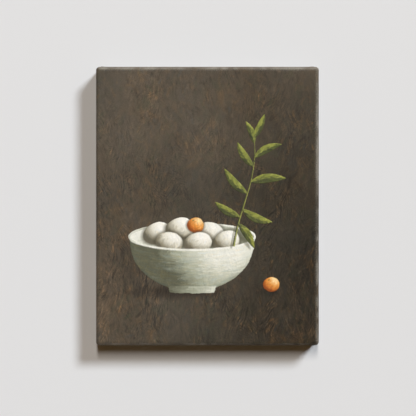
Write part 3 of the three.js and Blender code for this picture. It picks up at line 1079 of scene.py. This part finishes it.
def canvasMaps(mesh, box, spot):
    # One map lies like the cloth itself, for the weave. The other unfolds the sheet, its inner
    # side smaller and beside it. A side is 0 for the outside, 1 for the cut edge and 2 for the inside
    verts = readAll(mesh.loops, "vertex_index")
    totals = readAll(mesh.polygons, "loop_total")
    count = len(totals)
    faces = np.repeat(np.arange(count), totals)
    side = perFace(spot["side"][verts], faces, count, "most")
    onX = (perFace(np.abs(box[verts, 0]), faces, count, "least") > 0.9999)[faces]
    onFront = (perFace(spot["ring"][verts].astype(float), faces, count, "most") == 0)[faces]
    flat = totals > 4
    u, v = (
        np.where(flat[faces], spot[key][verts], np.where(onFront, spot["front"][i][verts],
                 np.where(onX, spot["byX"][i][verts], spot["byZ"][i][verts])))
        for i, key in enumerate(("x", "z"))
    )
    setMap(mesh, "cloth", u * mm, v * mm)
    small, gap = unfolded["innerScale"], unfolded["gap"]
    back = ((side > 1.5) | flat)[faces]
    startU = 2 * easelWide + gap
    whole = startU + 2 * easelWide * small
    bakeU = np.where(back, startU + (u + easelWide) * small, u + easelWide) / whole
    bakeV = np.where(back, (v + easelTall) * small, v + easelTall) / whole
    setMap(mesh, "OFBake", bakeU, bakeV)
    mesh.polygons.foreach_set("material_index", (flat | (side > 0.5)).astype(np.int32))
    mesh.update()


def finishShading(mesh, angle=50):
    mesh.shade_smooth()
    mesh.set_sharp_from_angle(angle=math.radians(angle))


def makeCanvas(base, materials):
    rings = clothRings()
    mesh = clothBlank(rings)
    box = readAll(mesh.vertices, "co", 3, float)
    spot = wrap(box, rings)
    x, depth, z = waves(spot)
    setPoints(mesh, x, depth, z)
    outer = spot["side"] < 0.5
    facing = readAll(mesh.vertices, "normal", 3, float)
    lift = pick(base["lift"], *spot["sample"]) * outer
    setPoints(mesh, x + facing[:, 0] * lift, depth + facing[:, 1] * lift, z + facing[:, 2] * lift)
    setPaint(mesh, pick(base["tone"], *spot["sample"]), np.full(len(box), weave["shows"]))
    # The worn share is partly real wear on the folds and partly a painted highlight along the edges, and it
    # also lifts the shade where the lower fold faces down
    wornAndLit = mesh.attributes.new("wornAndLit", "FLOAT", "POINT")
    wornAndLit.data.foreach_set("value", pick(wearAndHighlightShare(), *spot["sample"]).astype(np.float32))
    canvasMaps(mesh, box, spot)
    finishShading(mesh)
    thing = newPiece("canvas_sheet", mesh, materials)
    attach(thing, "root")
    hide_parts("canvas")
    print("canvas wrapped round the bars")
    return thing


# The raised paint of the still life, as thin coats on the front

relief = {"body": 0.10, "dip": 0.25, "cell": 0.5, "back": 0.15, "weave": 0.16}


def coated(layer, under):
    edge = smooth(layer["cover"], 0.2, 0.8)
    return under + edge * (relief["body"] + layer["lift"]), edge


def makeCoat(name, layer, under, material):
    reach = layer["cover"] > 0.02
    cols = np.nonzero(reach.any(axis=0))[0]
    rows = np.nonzero(reach.any(axis=1))[0]
    lowX, highX = easelX[cols[0]] - 1, easelX[cols[-1]] + 1
    lowZ, highZ = easelZ[rows[0]] - 1, easelZ[rows[-1]] + 1
    height, edge = coated(layer, under)
    shape = bmesh.new()
    across, up = int((highX - lowX) / relief["cell"]), int((highZ - lowZ) / relief["cell"])
    bmesh.ops.create_grid(shape, x_segments=across, y_segments=up, size=0.5, matrix=turnedUp)
    box = np.array([vert.co[:] for vert in shape.verts])
    x = lowX + (box[:, 0] + 0.5) * (highX - lowX)
    z = lowZ + (box[:, 2] + 0.5) * (highZ - lowZ)
    share = pick(edge, x, z)
    high = pick(height, x, z) - relief["dip"] * (1 - share)
    for i, vert in enumerate(shape.verts):
        vert.co = (x[i] * mm, (picture["front"] - high[i]) * mm, (z[i] + picture["middle"]) * mm)
    spare = [face for face in shape.faces if max(share[vert.index] for vert in face.verts) < 0.02]
    bmesh.ops.delete(shape, geom=spare, context="FACES")
    bmesh.ops.solidify(shape, geom=shape.faces, thickness=relief["back"] * mm)
    bmesh.ops.recalc_face_normals(shape, faces=shape.faces)
    mesh = meshFrom(shape, name)
    spots = readAll(mesh.vertices, "co", 3, float)
    x, z = spots[:, 0] / mm, spots[:, 2] / mm - picture["middle"]
    setPaint(mesh, pick(layer["tone"], x, z), np.full(len(x), relief["weave"]))
    verts = readAll(mesh.loops, "vertex_index")
    setMap(mesh, "cloth", x[verts] * mm, z[verts] * mm)
    size = max(highX - lowX, highZ - lowZ)
    setMap(mesh, "OFBake", (x[verts] - lowX) / size, (z[verts] - lowZ) / size)
    mesh.shade_smooth()
    thing = newPiece(name, mesh, [material])
    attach(thing, "root")
    print(name, "raised,", len(mesh.polygons), "faces")
    return thing


# The folded corners: a tuck on the top and bottom sides, and its end on the back

fold = {
    "cells": 22, "tuckThick": 0.4, "fromSide": 4.0, "fromBack": 2.0,
    "padReach": 22.0, "padFold": 14.0, "padInset": 1.5, "padThick": 0.5, "sunk": 0.3, "crease": 0.3,
    "creaseWide": 0.45, "ripple": 0.05, "slope": 1.1, "bulk": 18.0,
    "elsewhere": (0.94, 6.0),  # the folded layer shows another bit of the same ground
}


def foldRise(away, edge, thick):
    # Full round at the folded edge and a soft slope at the others
    rounded = np.sqrt(unit(1 - (1 - unit(edge / thick)) ** 2))
    return thick * rounded * smooth(away, 0, fold["slope"])


def tuckPoints(s, t, right, up):
    # A right-angled triangle on the side of the canvas, with its fold along the slanting edge
    reach = picture["deep"] - cloth["frontRadius"] - fold["fromBack"]
    a, b = s * (1 - t), t
    x = right * (picture["halfWide"] - fold["fromSide"] - a * reach)
    depth = picture["deep"] - fold["fromBack"] - b * reach
    slant = (1 - a - b) * reach / math.sqrt(2)
    high = foldRise(np.minimum(a, b + 0.03) * reach + 0.15, slant, fold["tuckThick"])
    high = high + fold["ripple"] * np.sin(a * 9 + b * 5) * (slant > 1)
    u, v = x, up * (picture["halfTall"] - cloth["frontRadius"] * (1 - math.pi / 2)
                    + depth - cloth["frontRadius"])
    return x, depth, up * picture["halfTall"], (0, 0, up), high, u, v


def padPoints(s, t, right, up):
    # The end of the tuck, turned over the back, with a crease on the mitre
    inset, far, end = fold["padInset"], fold["padFold"], fold["padReach"]
    corners = [(inset, inset), (inset, far), (far, far), (end, inset)]
    alongX = [(1 - s) * (1 - t), (1 - s) * t, s * t, s * (1 - t)]
    ix = sum(share * corner[0] for share, corner in zip(alongX, corners))
    iz = sum(share * corner[1] for share, corner in zip(alongX, corners))
    x, z = right * (picture["halfWide"] - ix), up * (picture["halfTall"] - iz)
    folded = (1 - s) * fold["bulk"]
    away = np.minimum(np.minimum(ix - inset, iz - inset) + 0.3, (far - iz) * 0.8 + 0.3)
    crease = near(ix, iz, fold["creaseWide"]) * (ix < far - 0.5)
    high = foldRise(away, folded, fold["padThick"]) - fold["crease"] * crease
    path = cloth["toFold"] + np.minimum(ix, iz) - cloth["backRadius"]
    u, v = x, up * (picture["halfTall"] - cloth["frontRadius"] + path)
    return x, picture["deep"] + 0 * x, z, (0, 1, 0), high, u, v


def addFold(shape, maps, points, right, up):
    made = bmesh.ops.create_grid(
        shape, x_segments=fold["cells"], y_segments=fold["cells"], size=0.5, matrix=turnedUp)["verts"]
    box = np.array([vert.co[:] for vert in made]) + 0.5
    x, depth, z, way, high, u, v = points(box[:, 0], box[:, 2], right, up)
    x, depth, z, high = (np.broadcast_to(item, u.shape) for item in (x, depth, z, high))
    low = -fold["sunk"]
    for i, vert in enumerate(made):
        vert.co = (
            (x[i] + way[0] * low) * mm, (picture["front"] + depth[i] + way[1] * low) * mm,
            (z[i] + way[2] * low + picture["middle"]) * mm,
        )
        vert[maps[0]], vert[maps[1]], vert[maps[2]] = float(u[i]), float(v[i]), 0.0
    faces = list({face for vert in made for face in vert.link_faces})
    top = bmesh.ops.extrude_face_region(shape, geom=faces, use_keep_orig=True)["geom"]
    table = {(round(vert[maps[0]], 4), round(vert[maps[1]], 4)): i for i, vert in enumerate(made)}
    for vert in vertsOf(top):
        i = table[(round(vert[maps[0]], 4), round(vert[maps[1]], 4))]
        vert.co += Vector(way) * float(high[i] - low) * mm
        vert[maps[2]] = 1.0


def makeFolds(base, material):
    shape = bmesh.new()
    maps = [shape.verts.layers.float.new(name) for name in ("u", "v", "top")]
    for right in (1, -1):
        for up in (1, -1):
            addFold(shape, maps, tuckPoints, right, up)
            addFold(shape, maps, padPoints, right, up)
    bmesh.ops.remove_doubles(shape, verts=shape.verts, dist=1e-7)
    bmesh.ops.dissolve_degenerate(shape, edges=shape.edges, dist=1e-7)
    bmesh.ops.recalc_face_normals(shape, faces=shape.faces)
    u = np.array([vert[maps[0]] for vert in shape.verts])
    v = np.array([vert[maps[1]] for vert in shape.verts])
    mesh = meshFrom(shape, "corner_folds")
    for name in ("u", "v", "top"):
        mesh.attributes.remove(mesh.attributes[name])
    scale, shift = fold["elsewhere"]
    setPaint(mesh, pick(base["tone"], u * scale + shift, v), np.full(len(u), weave["shows"]))
    verts = readAll(mesh.loops, "vertex_index")
    setMap(mesh, "cloth", u[verts] * mm, v[verts] * mm)
    finishShading(mesh)
    thing = newPiece("corner_folds", mesh, [material])
    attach(thing, "root")
    print("corners folded")
    return thing


# Loose threads along the cut edge

threads = {
    "count": 170, "radius": 0.09, "thin": (0.7, 1.2), "long": (1.2, 5.5), "steps": 5,
    "upright": 0.55,  # the share of them that are on the left and right strips
    "reach": 0.96, "lean": 0.5, "rooted": 0.6, "deep": 0.25, "curl": 0.28, "flat": (1, 0.35, 1),
    "lift": (-0.04, 0.12),  # how far a thread may point at the bars or away from them
}


def makeThreads(material):
    local = np.random.default_rng(67)
    halfX, halfZ = picture["halfWide"] - cloth["fold"], picture["halfTall"] - cloth["fold"]
    shape = bmesh.new()
    for i in range(threads["count"]):
        upright = local.random() < threads["upright"]
        sign = 1 if local.random() < 0.5 else -1
        along = local.uniform(-threads["reach"], threads["reach"])
        x, z = (sign * halfX, along * halfZ) if upright else (along * halfX, sign * halfZ)
        way = Vector((-sign, 0, 0)) if upright else Vector((0, 0, -sign))
        lean = local.normal(0, threads["lean"])
        lean = Vector((0, 0, lean)) if upright else Vector((lean, 0, 0))
        depth = picture["front"] + picture["deep"] - threads["deep"]
        spot = Vector((x, depth, z + picture["middle"])) - way * threads["rooted"]
        heading = (way + lean).normalized()
        made = bmesh.ops.create_circle(
            shape, segments=3, radius=threads["radius"] * local.uniform(*threads["thin"]) * mm,
            matrix=Matrix.Translation(spot * mm) @ heading.to_track_quat("Z", "Y").to_matrix().to_4x4(),
            cap_ends=True)["verts"]
        ends = [face for face in made[0].link_faces if len(face.verts) == 3]
        stepLong = local.uniform(*threads["long"]) / threads["steps"]
        curl = Vector(local.normal(0, threads["curl"], 3)) * Vector(threads["flat"])
        for j in range(threads["steps"]):
            grown = bmesh.ops.extrude_face_region(shape, geom=ends)["geom"]
            heading = (heading + curl).normalized()
            heading.y = min(max(heading.y, threads["lift"][0]), threads["lift"][1])
            bmesh.ops.translate(shape, vec=heading * stepLong * mm, verts=vertsOf(grown))
            ends = [item for item in grown if isinstance(item, bmesh.types.BMFace)]
    bmesh.ops.recalc_face_normals(shape, faces=shape.faces)
    mesh = meshFrom(shape, "edge_threads")
    mesh.shade_smooth()
    thing = newPiece("edge_threads", mesh, [material])
    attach(thing, "root")
    print("edge threads made")
    return thing


# Finishes

def weaveHeight(point):
    # A plain weave: warp and weft take turns on top
    point = flow("Mapping", {"Vector": point, "Scale": (1 / weave["pitch"],) * 3})
    sway = flow("TexNoise", {"Vector": point, "Scale": weave["sway"], "Detail": 1.0}, "Color")
    parts = split(moved(point, sway))
    lifted = flow("CombineXYZ", {"X": parts[0], "Y": parts[1], "Z": 0.5})
    over = flow("TexChecker", {"Vector": lifted, "Scale": 1.0}, "Fac")
    ribs = [calc("SINE", calc("FRACT", part) * math.pi) for part in parts[:2]]
    across, along = ribs[0] * (ribs[1] * 0.5 + 0.5), ribs[1] * (ribs[0] * 0.5 + 0.5)
    return across * over + along * (1.0 - over)


# Hair marks finer than the painted strokes: how many patches and marks to a metre along each axis,
# and whether they lie low on the picture only
brushMarks = [
    {"patch": (80.0, 34.0, 1.0), "lean": 1.3, "marks": (860.0, 120.0, 1.0), "seed": 0.0, "strong": 1.0,
     "low": False},
    {"patch": (130.0, 75.0, 1.0), "lean": 2.6, "marks": (1150.0, 260.0, 1.0), "seed": 3.7, "strong": 0.8,
     "low": False},
    {"patch": (58.0, 24.0, 1.0), "lean": 0.55, "marks": (560.0, 70.0, 1.0), "seed": 8.3, "strong": 1.5,
     "low": True},
]
brushed = {  # from where to where in metres from the middle, and from how much to how much
    "low": (-0.015, -0.065, 0.0, 1.0),
    "left": (0.05, -0.06, 0.6, 1.0),
    "calm": (0.045, 0.105, 1.0, 0.72),
    "sway": (38.0, 0.008),  # how many to a metre, and how far they push the marks
}


def hairMarks(point, values):
    # Patches of parallel marks. Each patch is one pull of the brush, with a lean of its own
    scale, push = brushed["sway"]
    sway = flow("TexNoise", {"Vector": point, "Scale": scale, "Detail": 2.0}, "Color")
    point = moved(point, moved(sway, (push, push, 0.0), "MULTIPLY"))
    seed = (values["seed"], values["seed"], 0.0)
    cell = flow("Mapping", {"Vector": point, "Scale": values["patch"], "Location": seed})
    chance = flow("TexVoronoi", {"Vector": cell, "Scale": 1.0}, "Color", voronoi_dimensions="2D")
    parts = split(chance, "Color")
    lean = (parts[0] - 0.5) * values["lean"]
    turned = flow("VectorRotate", {"Vector": point, "Angle": lean}, rotation_type="Z_AXIS")
    return noise(moved(turned, chance), values["marks"]), parts[1]


def lowShare(point):
    # The ground was brushed upright and drier low on the picture, most of all at the left
    across, up = split(point)[:2]
    return spread(up, *brushed["low"]) * spread(across, *brushed["left"])


def calmShare(point):
    # The ground was brushed more smoothly near the top
    return spread(split(point)[1], *brushed["calm"])


primer = {
    # the rubbed tone is the primer on rubbed folds, and it also serves as a painted highlight along the edges
    "tone": (226, 221, 208), "stain": (206, 194, 168), "rubbedAndLit": (147, 142, 132),
    "past": 0.0045, "pulls": 0.0045, "loads": 0.010, "soft": 0.0002,
    "acrossPull": 900.0, "alongPull": 170.0,
}


def bareShare(point):
    # Past the painted margin behind, the brush ran out on the bare primer
    parts = split(point)
    pastX = calc("ABSOLUTE", parts[0]) - (picture["halfWide"] - cloth["frontRadius"]) * mm
    pastZ = calc("ABSOLUTE", parts[1]) - (picture["halfTall"] - cloth["frontRadius"]) * mm
    sideways = calc("GREATER_THAN", pastX, pastZ)
    fine, long = primer["acrossPull"], primer["alongPull"]
    pulled = noise(point, (long, fine, 1.0), 3.0, 0.6) * sideways
    pulled = pulled + noise(point, (fine, long, 1.0), 3.0, 0.6) * (1.0 - sideways)
    limit = (pulled - 0.5) * primer["pulls"] + (cloth["toFold"] * mm + primer["past"])
    limit = (noise(point, 105.0, 2.0) - 0.5) * primer["loads"] + limit
    return spread(calc("MAXIMUM", pastX, pastZ) - limit, -primer["soft"], primer["soft"])


marked = {
    "high": (1.73, 1.55, 1.41, 1.0), "highFrom": (0.53, 0.61),
    "low": (0.48, 0.50, 0.53, 1.0), "lowFrom": (0.47, 0.38),
    "busy": (0.40, 0.60, 0.35, 1.12), "load": (0.1, 0.9, 0.45, 1.2),
    "rust": (1.65, 2.5, 0.35, 1.0), "rustLoad": (0.4, 1.0, 1.0, 1.45),
    "grain": 1.3, "patch": 0.45, "weave": 0.85,
    "rubAndLightLimit": 1.0, "rubAndLightReach": 1.45, "rubAndLightSoft": 0.16,
}


def multiplied(factor, colour, tone):
    return blend(factor, colour, blend(1.0, colour, tone, "MULTIPLY"))


def hairColour(point, colour, share, rusty):
    # Lighter and rusty on the ridges of the hair marks, and darker in their furrows
    ridges = 0.0
    busy = spread(noise(point, 24.0), *marked["busy"]) * calmShare(point)
    low = lowShare(point)
    for values in brushMarks:
        lines, chance = hairMarks(point, values)
        here = share * low if values["low"] else share
        ridges = lines * here + ridges
        loaded = here * values["strong"] * spread(chance, *marked["load"])
        loaded = loaded * (busy * spread(rusty, *marked["rustLoad"]))
        colour = multiplied(spread(lines, *marked["highFrom"]) * (loaded * rusty), colour, marked["high"])
        colour = multiplied(spread(lines, *marked["lowFrom"]) * loaded, colour, marked["low"])
    return colour, ridges


def rubbedAndLitColour(material, colour, height, grain):
    # The primer shows on the tops of the weave where the folds are rubbed. This is partly real wear and
    # partly a painted highlight along the edges
    wornAndLit = flow("Attribute", {}, "Fac", tree=material.node_tree, attribute_name="wornAndLit")
    tops = height * 0.55 + grain * 0.6
    limit = marked["rubAndLightLimit"] - wornAndLit * marked["rubAndLightReach"]
    rubbedAndLit = spread(tops - limit, -marked["rubAndLightSoft"], marked["rubAndLightSoft"]) * spread(wornAndLit, 0.0, 0.05)
    return blend(rubbedAndLit, colour, linear(*primer["rubbedAndLit"]))


def paintFinish():
    # Thin oil-like paint over the weave: hair streaks, fine grain and a soft satin
    material, point = newMaterial("painted_cloth", onCloth=True)
    seen = add("Attribute", {}, material.node_tree, attribute_name="paint").outputs
    tone, shown = Flow(seen["Color"]), Flow(seen["Alpha"])
    height, bare = weaveHeight(point), bareShare(point)
    share = shown * (1.0 - bare * 0.85)
    grain, patch = noise(point, 900.0, 4.0, 0.7), noise(point, 240.0, 3.0, 0.6)
    stain = spread(noise(point, 60.0, 3.0, 0.6), 0.45, 0.75, 0.0, 0.5)
    gesso = blend(stain, linear(*primer["tone"]), linear(*primer["stain"]))
    shades = split(tone, "Color")
    rusty = spread(shades[0] / shades[2], *marked["rust"])
    colour, ridges = hairColour(point, blend(bare, tone, gesso), share, rusty)
    fine = (grain - 0.5) * marked["grain"] + (patch - 0.5) * marked["patch"]
    # Lighter on the tops of the weave and darker in its hollows: partly paint caught on the threads, partly
    # painted shade in the hollows
    gain = (fine + (height - 0.45) * marked["weave"]) * share + 1.0
    colour = blend(1.0, colour, flow("CombineColor", {0: gain, 1: gain, 2: gain}), "MULTIPLY")
    under = bump(height * (bare * 0.4 + shown), weave["deep"])
    return finish(material, {
        "Base Color": rubbedAndLitColour(material, colour, height, grain),
        "Roughness": bare * 0.18 + spread(patch, 0.3, 0.7, 0.62, 0.74),
        "Specular IOR Level": 0.20,
        "Normal": bump(ridges, 0.00005, 0.55, under),
    })


cotton = {
    # the gap tone is painted shade between the threads
    "dull": (206, 190, 158), "pale": (221, 209, 182), "slub": (232, 222, 198), "gap": (140, 122, 92),
    "seed": (104, 78, 48), "primed": (236, 231, 218), "thread": ((205, 190, 160), (236, 226, 204)),
}


def rawFinish():
    # Unbleached cotton, with slubs, seed flecks and a few pale spots where the primer came through
    material, point = newMaterial("raw_cotton", onCloth=True)
    height = weaveHeight(point)
    slubs = noise(point, (60.0, 1500.0, 1.0), 2.0) * 0.5 + noise(point, (1500.0, 60.0, 1.0), 2.0) * 0.5
    colour = blend(spread(noise(point, 22.0), 0.35, 0.7), linear(*cotton["dull"]), linear(*cotton["pale"]))
    colour = wash(colour, slubs, 0.56, 0.66, 0.5, cotton["slub"])
    # Darker between the threads: painted shade in the weave's hollows
    colour = wash(colour, height, 0.45, 0.0, 0.45, cotton["gap"])
    colour = wash(colour, noise(point, 700.0, 1.0), 0.755, 0.79, 0.8, cotton["seed"])
    colour = wash(colour, noise(point, 75.0, 3.0, 0.6), 0.66, 0.74, 0.35, cotton["primed"])
    return finish(material, {
        "Base Color": colour, "Roughness": 0.95, "Specular IOR Level": 0.2,
        "Normal": bump(slubs, 0.0002, 0.4, bump(height, 0.00009)),
    })


def threadFinish():
    material, point = newMaterial("loose_thread")
    dark, pale = cotton["thread"]
    colour = blend(noise(point, 2400.0, 2.0), linear(*dark), linear(*pale))
    return finish(material, {"Base Color": colour, "Roughness": 0.95})


pine = {
    "early": (228, 203, 158), "late": (190, 146, 94), "fibre": (176, 136, 90), "broad": (236, 214, 172),
    "fleck": (128, 88, 54), "knot": (98, 62, 36), "pitch": 0.0026, "sway": 0.016,
    "ring": [(0.0, 0.0), (0.45, 0.08), (0.86, 0.85), (0.95, 0.0)],  # how dark the wood is across one ring
    "bars": {
        "top": {"upright": False, "pith": (-0.045, 0.052), "knot": (-0.052, 0.0145)},
        "right": {"upright": True, "pith": (-0.060, -0.040), "knot": (0.128, 0.0890)},
        "bottom": {"upright": False, "pith": (0.030, -0.262), "knot": (0.031, -0.2190)},
        "left": {"upright": True, "pith": (-0.075, 0.060), "knot": (0.062, -0.0905)},
    },
}


def grainPoint(point, upright, shift):
    # The grain runs along X of this point, whichever way the bar stands
    turn = (0, math.pi / 2, 0) if upright else (0, 0, 0)
    return flow("Mapping", {"Vector": point, "Rotation": turn, "Location": (shift, 0, 0)})


def lengthOf(first, second):
    return calc("SQRT", first * first + second * second)


def pineFinish(name, values, shift):
    material, start = newMaterial("pine_" + name)
    point = grainPoint(start, values["upright"], 0.0)
    along, deep, across = split(point)
    slow = grainPoint(start, values["upright"], shift)
    slow = flow("Mapping", {"Vector": slow, "Scale": (5.0, 22.0, 22.0)})
    sway = split(flow("TexNoise", {"Vector": slow, "Scale": 1.0, "Detail": 2.0}, "Color"))
    pith, knot, far = values["pith"], values["knot"], pine["sway"]
    radius = lengthOf(deep - pith[0] + sway[0] * far, across - pith[1] + sway[1] * far)
    fromKnot = lengthOf(along - knot[0], (across - knot[1]) * 1.5)
    radius = radius + spread(fromKnot, 0.001, 0.016, 0.010, 0.0)  # the rings go round the knot
    ring = [(at, (dark, dark, dark, 1)) for at, dark in pine["ring"]]
    late = ramp(calc("FRACT", radius / pine["pitch"]), ring)
    fibre = noise(point, (55.0, 2600.0, 2600.0), 3.0, 0.6)
    broad = noise(point, (8.0, 60.0, 60.0), 2.0)
    colour = blend(late * spread(broad, 0.3, 0.7, 0.45, 0.9), linear(*pine["early"]), linear(*pine["late"]))
    colour = wash(colour, fibre, 0.35, 0.75, 0.35, pine["fibre"])
    colour = wash(colour, broad, 0.45, 0.75, 0.3, pine["broad"])
    colour = wash(colour, noise(point, (130.0, 3400.0, 3400.0), 1.0), 0.70, 0.78, 0.6, pine["fleck"])
    return finish(material, {
        "Base Color": wash(colour, fromKnot, 0.0042, 0.0022, 1.0, pine["knot"]),
        "Roughness": spread(late, 0.0, 1.0, 0.72, 0.56),
        "Specular IOR Level": 0.35,
        "Normal": bump(late, 0.00005, 0.5, bump(fibre, 0.00008, 0.6)),
    })


beechTones = {"pale": (212, 172, 126), "dull": (190, 145, 100), "ray": (140, 96, 60), "sawn": (226, 196, 156)}


def beechFinish():
    material, point = newMaterial("beech")
    sawn = noise(point, (900.0, 300.0, 900.0), 3.0, 0.7)
    broad = noise(point, (90.0, 300.0, 90.0))
    colour = blend(spread(broad, 0.3, 0.7), linear(*beechTones["pale"]), linear(*beechTones["dull"]))
    colour = wash(colour, noise(point, (420.0, 3600.0, 1300.0), 1.0), 0.60, 0.72, 0.55, beechTones["ray"])
    colour = wash(colour, sawn, 0.5, 0.8, 0.25, beechTones["sawn"])
    return finish(material, {"Base Color": colour, "Roughness": 0.7, "Normal": bump(sawn, 0.0001, 0.6)})


zinc = {"bright": (196, 199, 202), "dull": (158, 162, 166), "drawn": (222, 224, 226)}


def wireFinish():
    # Galvanised wire: dull zinc with soft spangles and a few brighter drawn lines
    material, point = newMaterial("galvanised_wire")
    spangle = flow("TexVoronoi", {"Vector": point, "Scale": 900.0}, "Distance")
    drawn = noise(point, (300.0, 5000.0, 5000.0), 2.0)
    dull = noise(point, 500.0)
    colour = blend(spread(spangle, 0.1, 0.7), linear(*zinc["bright"]), linear(*zinc["dull"]))
    return finish(material, {
        "Base Color": wash(colour, drawn, 0.55, 0.75, 0.5, zinc["drawn"]),
        "Metallic": 1.0,
        "Roughness": spread(dull, 0.3, 0.7, 0.28, 0.5),
        "Normal": bump(dull, 0.00004, 0.4),
    })


plate = {
    "film": [
        (0.25, (196, 178, 116)), (0.42, (214, 190, 128)), (0.52, (222, 186, 140)), (0.62, (190, 188, 130)),
        (0.78, (206, 182, 110)),
    ],
    "scratch": (232, 226, 204),
}


def plateFinish():
    # Yellow zinc plate: a brassy film that turns a little green and pink, rubbed by handling
    material, point = newMaterial("yellow_zinc")
    scratch = noise(point, (160.0, 900.0, 7000.0), 2.0)
    dull = noise(point, 1200.0)
    film = [(place, linear(*tone)) for place, tone in plate["film"]]
    colour = ramp(noise(point, (90.0, 200.0, 240.0), 3.0, 0.6, 1.2), film)
    return finish(material, {
        "Base Color": wash(colour, scratch, 0.60, 0.74, 0.7, plate["scratch"]),
        "Metallic": 1.0, "Roughness": spread(dull, 0.3, 0.7, 0.26, 0.42),
        "Normal": bump(dull, 0.00003, 0.4, bump(scratch, 0.00003, 0.4)),
    })


rubber = {"plain": (46, 45, 44), "dusty": (112, 108, 102)}


def rubberFinish():
    material, point = newMaterial("bumper_rubber")
    dust = noise(point, 260.0, 4.0, 0.65)
    share = spread(dust, 0.42, 0.75, 0.0, 0.4)
    return finish(material, {
        "Base Color": blend(share, linear(*rubber["plain"]), linear(*rubber["dusty"])),
        "Roughness": spread(dust, 0.3, 0.7, 0.6, 0.85),
        "Normal": bump(noise(point, 1800.0, 4.0, 0.6), 0.00006, 0.5),
    })


def dress(thing, material, edge, segments=2):
    # A solid from the frame keeps its shape, with its finish and its sharp edges broken a little
    while len(thing.data.materials) < 1:
        thing.data.materials.append(None)
    for slot in thing.material_slots:
        slot.link = "OBJECT"
        slot.material = material
    joined = thing.modifiers.new("joined", "WELD")
    joined.merge_threshold = 0.000002
    eased = thing.modifiers.new("eased", "BEVEL")
    eased.width = edge * mm
    eased.segments = segments
    eased.limit_method = "ANGLE"
    eased.angle_limit = math.radians(28)
    eased.use_clamp_overlap = True


def dressFrame():
    nodes = frame["nodes"]
    shift = 0.0
    for side, values in pine["bars"].items():
        shift += 0.37
        dress(nodes["stretcher_bar_" + side], pineFinish(side, values, shift), 0.35)
    beech, wire = beechFinish(), wireFinish()
    for name, thing in nodes.items():
        if name.startswith("key_"):
            dress(thing, beech, 0.3)
        elif name.startswith("staple_"):
            dress(thing, wire, 0.16)
    dress(nodes["sawtooth_hanger"], plateFinish(), 0.12)
    print("frame, keys, staples and hanger finished")
    return wire


# The two nails of the hanger, and the two bumpers

nails = {
    "at": [("left", -17.5), ("right", 17.5)], "z": 3.15, "under": -1.95, "shank": 0.8, "head": 2.2,
    "rim": 0.35, "dome": 0.9, "length": 10.0, "point": 1.6, "steps": 32,
}
bumpers = {
    "at": [("left", -61.6), ("right", 61.6)], "z": -205.95, "base": -3.0, "radius": 4.75, "flat": 3.2,
    "straight": 1.4, "steps": 48,
}


def turnProfile(name, points, x, z, steps, material):
    # A profile of radius and height is spun about the Y axis
    shape = bmesh.new()
    verts = [shape.verts.new((radius * mm, y * mm, 0)) for radius, y in points]
    edges = [shape.edges.new(pair) for pair in zip(verts, verts[1:])]
    bmesh.ops.spin(
        shape, geom=verts + edges, cent=(0, 0, 0), axis=(0, 1, 0), angle=2 * math.pi, steps=steps,
        use_merge=True, use_duplicate=False,
    )
    bmesh.ops.remove_doubles(shape, verts=shape.verts, dist=1e-7)
    bmesh.ops.recalc_face_normals(shape, faces=shape.faces)
    bmesh.ops.translate(shape, vec=(x * mm, 0, z * mm), verts=shape.verts)
    mesh = meshFrom(shape, name)
    finishShading(mesh, 40)
    thing = newPiece(name, mesh, [material])
    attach(thing, "root")
    return thing


def makeNails(material):
    under, shank, head, dome = nails["under"], nails["shank"], nails["head"], nails["dome"]
    points = [(0, under - nails["length"]), (0.3 * shank, under - nails["length"] + 0.35),
              (shank, under - nails["length"] + nails["point"]), (shank, under - 0.15), (shank + 0.15, under),
              (head - 0.12, under), (head, under + 0.12), (head, under + nails["rim"] - 0.08)]
    for i in range(7):
        a = math.pi / 2 * i / 6
        high = nails["rim"] + (dome - nails["rim"]) * math.sin(a)
        points.append((head * math.cos(a) * 0.97, under + high))
    points[-1] = (0, under + dome)
    for side, x in nails["at"]:
        thing = turnProfile(
            "nail_" + side, points, x, nails["z"], nails["steps"], material)
        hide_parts("hanger_nail_" + side)


def makeBumpers(material):
    base, radius, flat = bumpers["base"], bumpers["radius"], bumpers["flat"]
    shoulder = base + bumpers["straight"]
    points = [(0, base), (radius - 0.2, base), (radius, base + 0.15), (radius, shoulder)]
    for i in range(1, 9):
        a = math.pi / 2 * i / 8
        points.append((flat + (radius - flat) * math.cos(a), shoulder * (1 - math.sin(a))))
    points += [(flat * 0.5, 0.0), (0, 0)]
    for side, x in bumpers["at"]:
        thing = turnProfile(
            "bumper_" + side, points, x, bumpers["z"], bumpers["steps"], material)
        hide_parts("wall_bumper_" + side)


# All of it, in order

bpy.context.scene.view_settings.view_transform = "Standard"
makeCamera()
makeStage()
makeLamps()
print("stage, light and camera made")

groundPaint, bowlPaint, fruitPaint, twigPaint = paintPicture()
painted, raw, loosened = paintFinish(), rawFinish(), threadFinish()
canvas = makeCanvas(groundPaint, [painted, raw])
coats = [
    makeCoat("painted_bowl", bowlPaint, groundPaint["lift"], painted),
    makeCoat("painted_fruit", fruitPaint, groundPaint["lift"], painted),
    makeCoat("painted_twig", twigPaint, coated(bowlPaint, groundPaint["lift"])[0], painted),
]
folds = makeFolds(groundPaint, painted)
frayed = makeThreads(loosened)
makeNails(dressFrame())
makeBumpers(rubberFinish())
cloth["flatWide"] * mm
cloth["flatTall"] * mm
print("pieces made")
linkLamps()
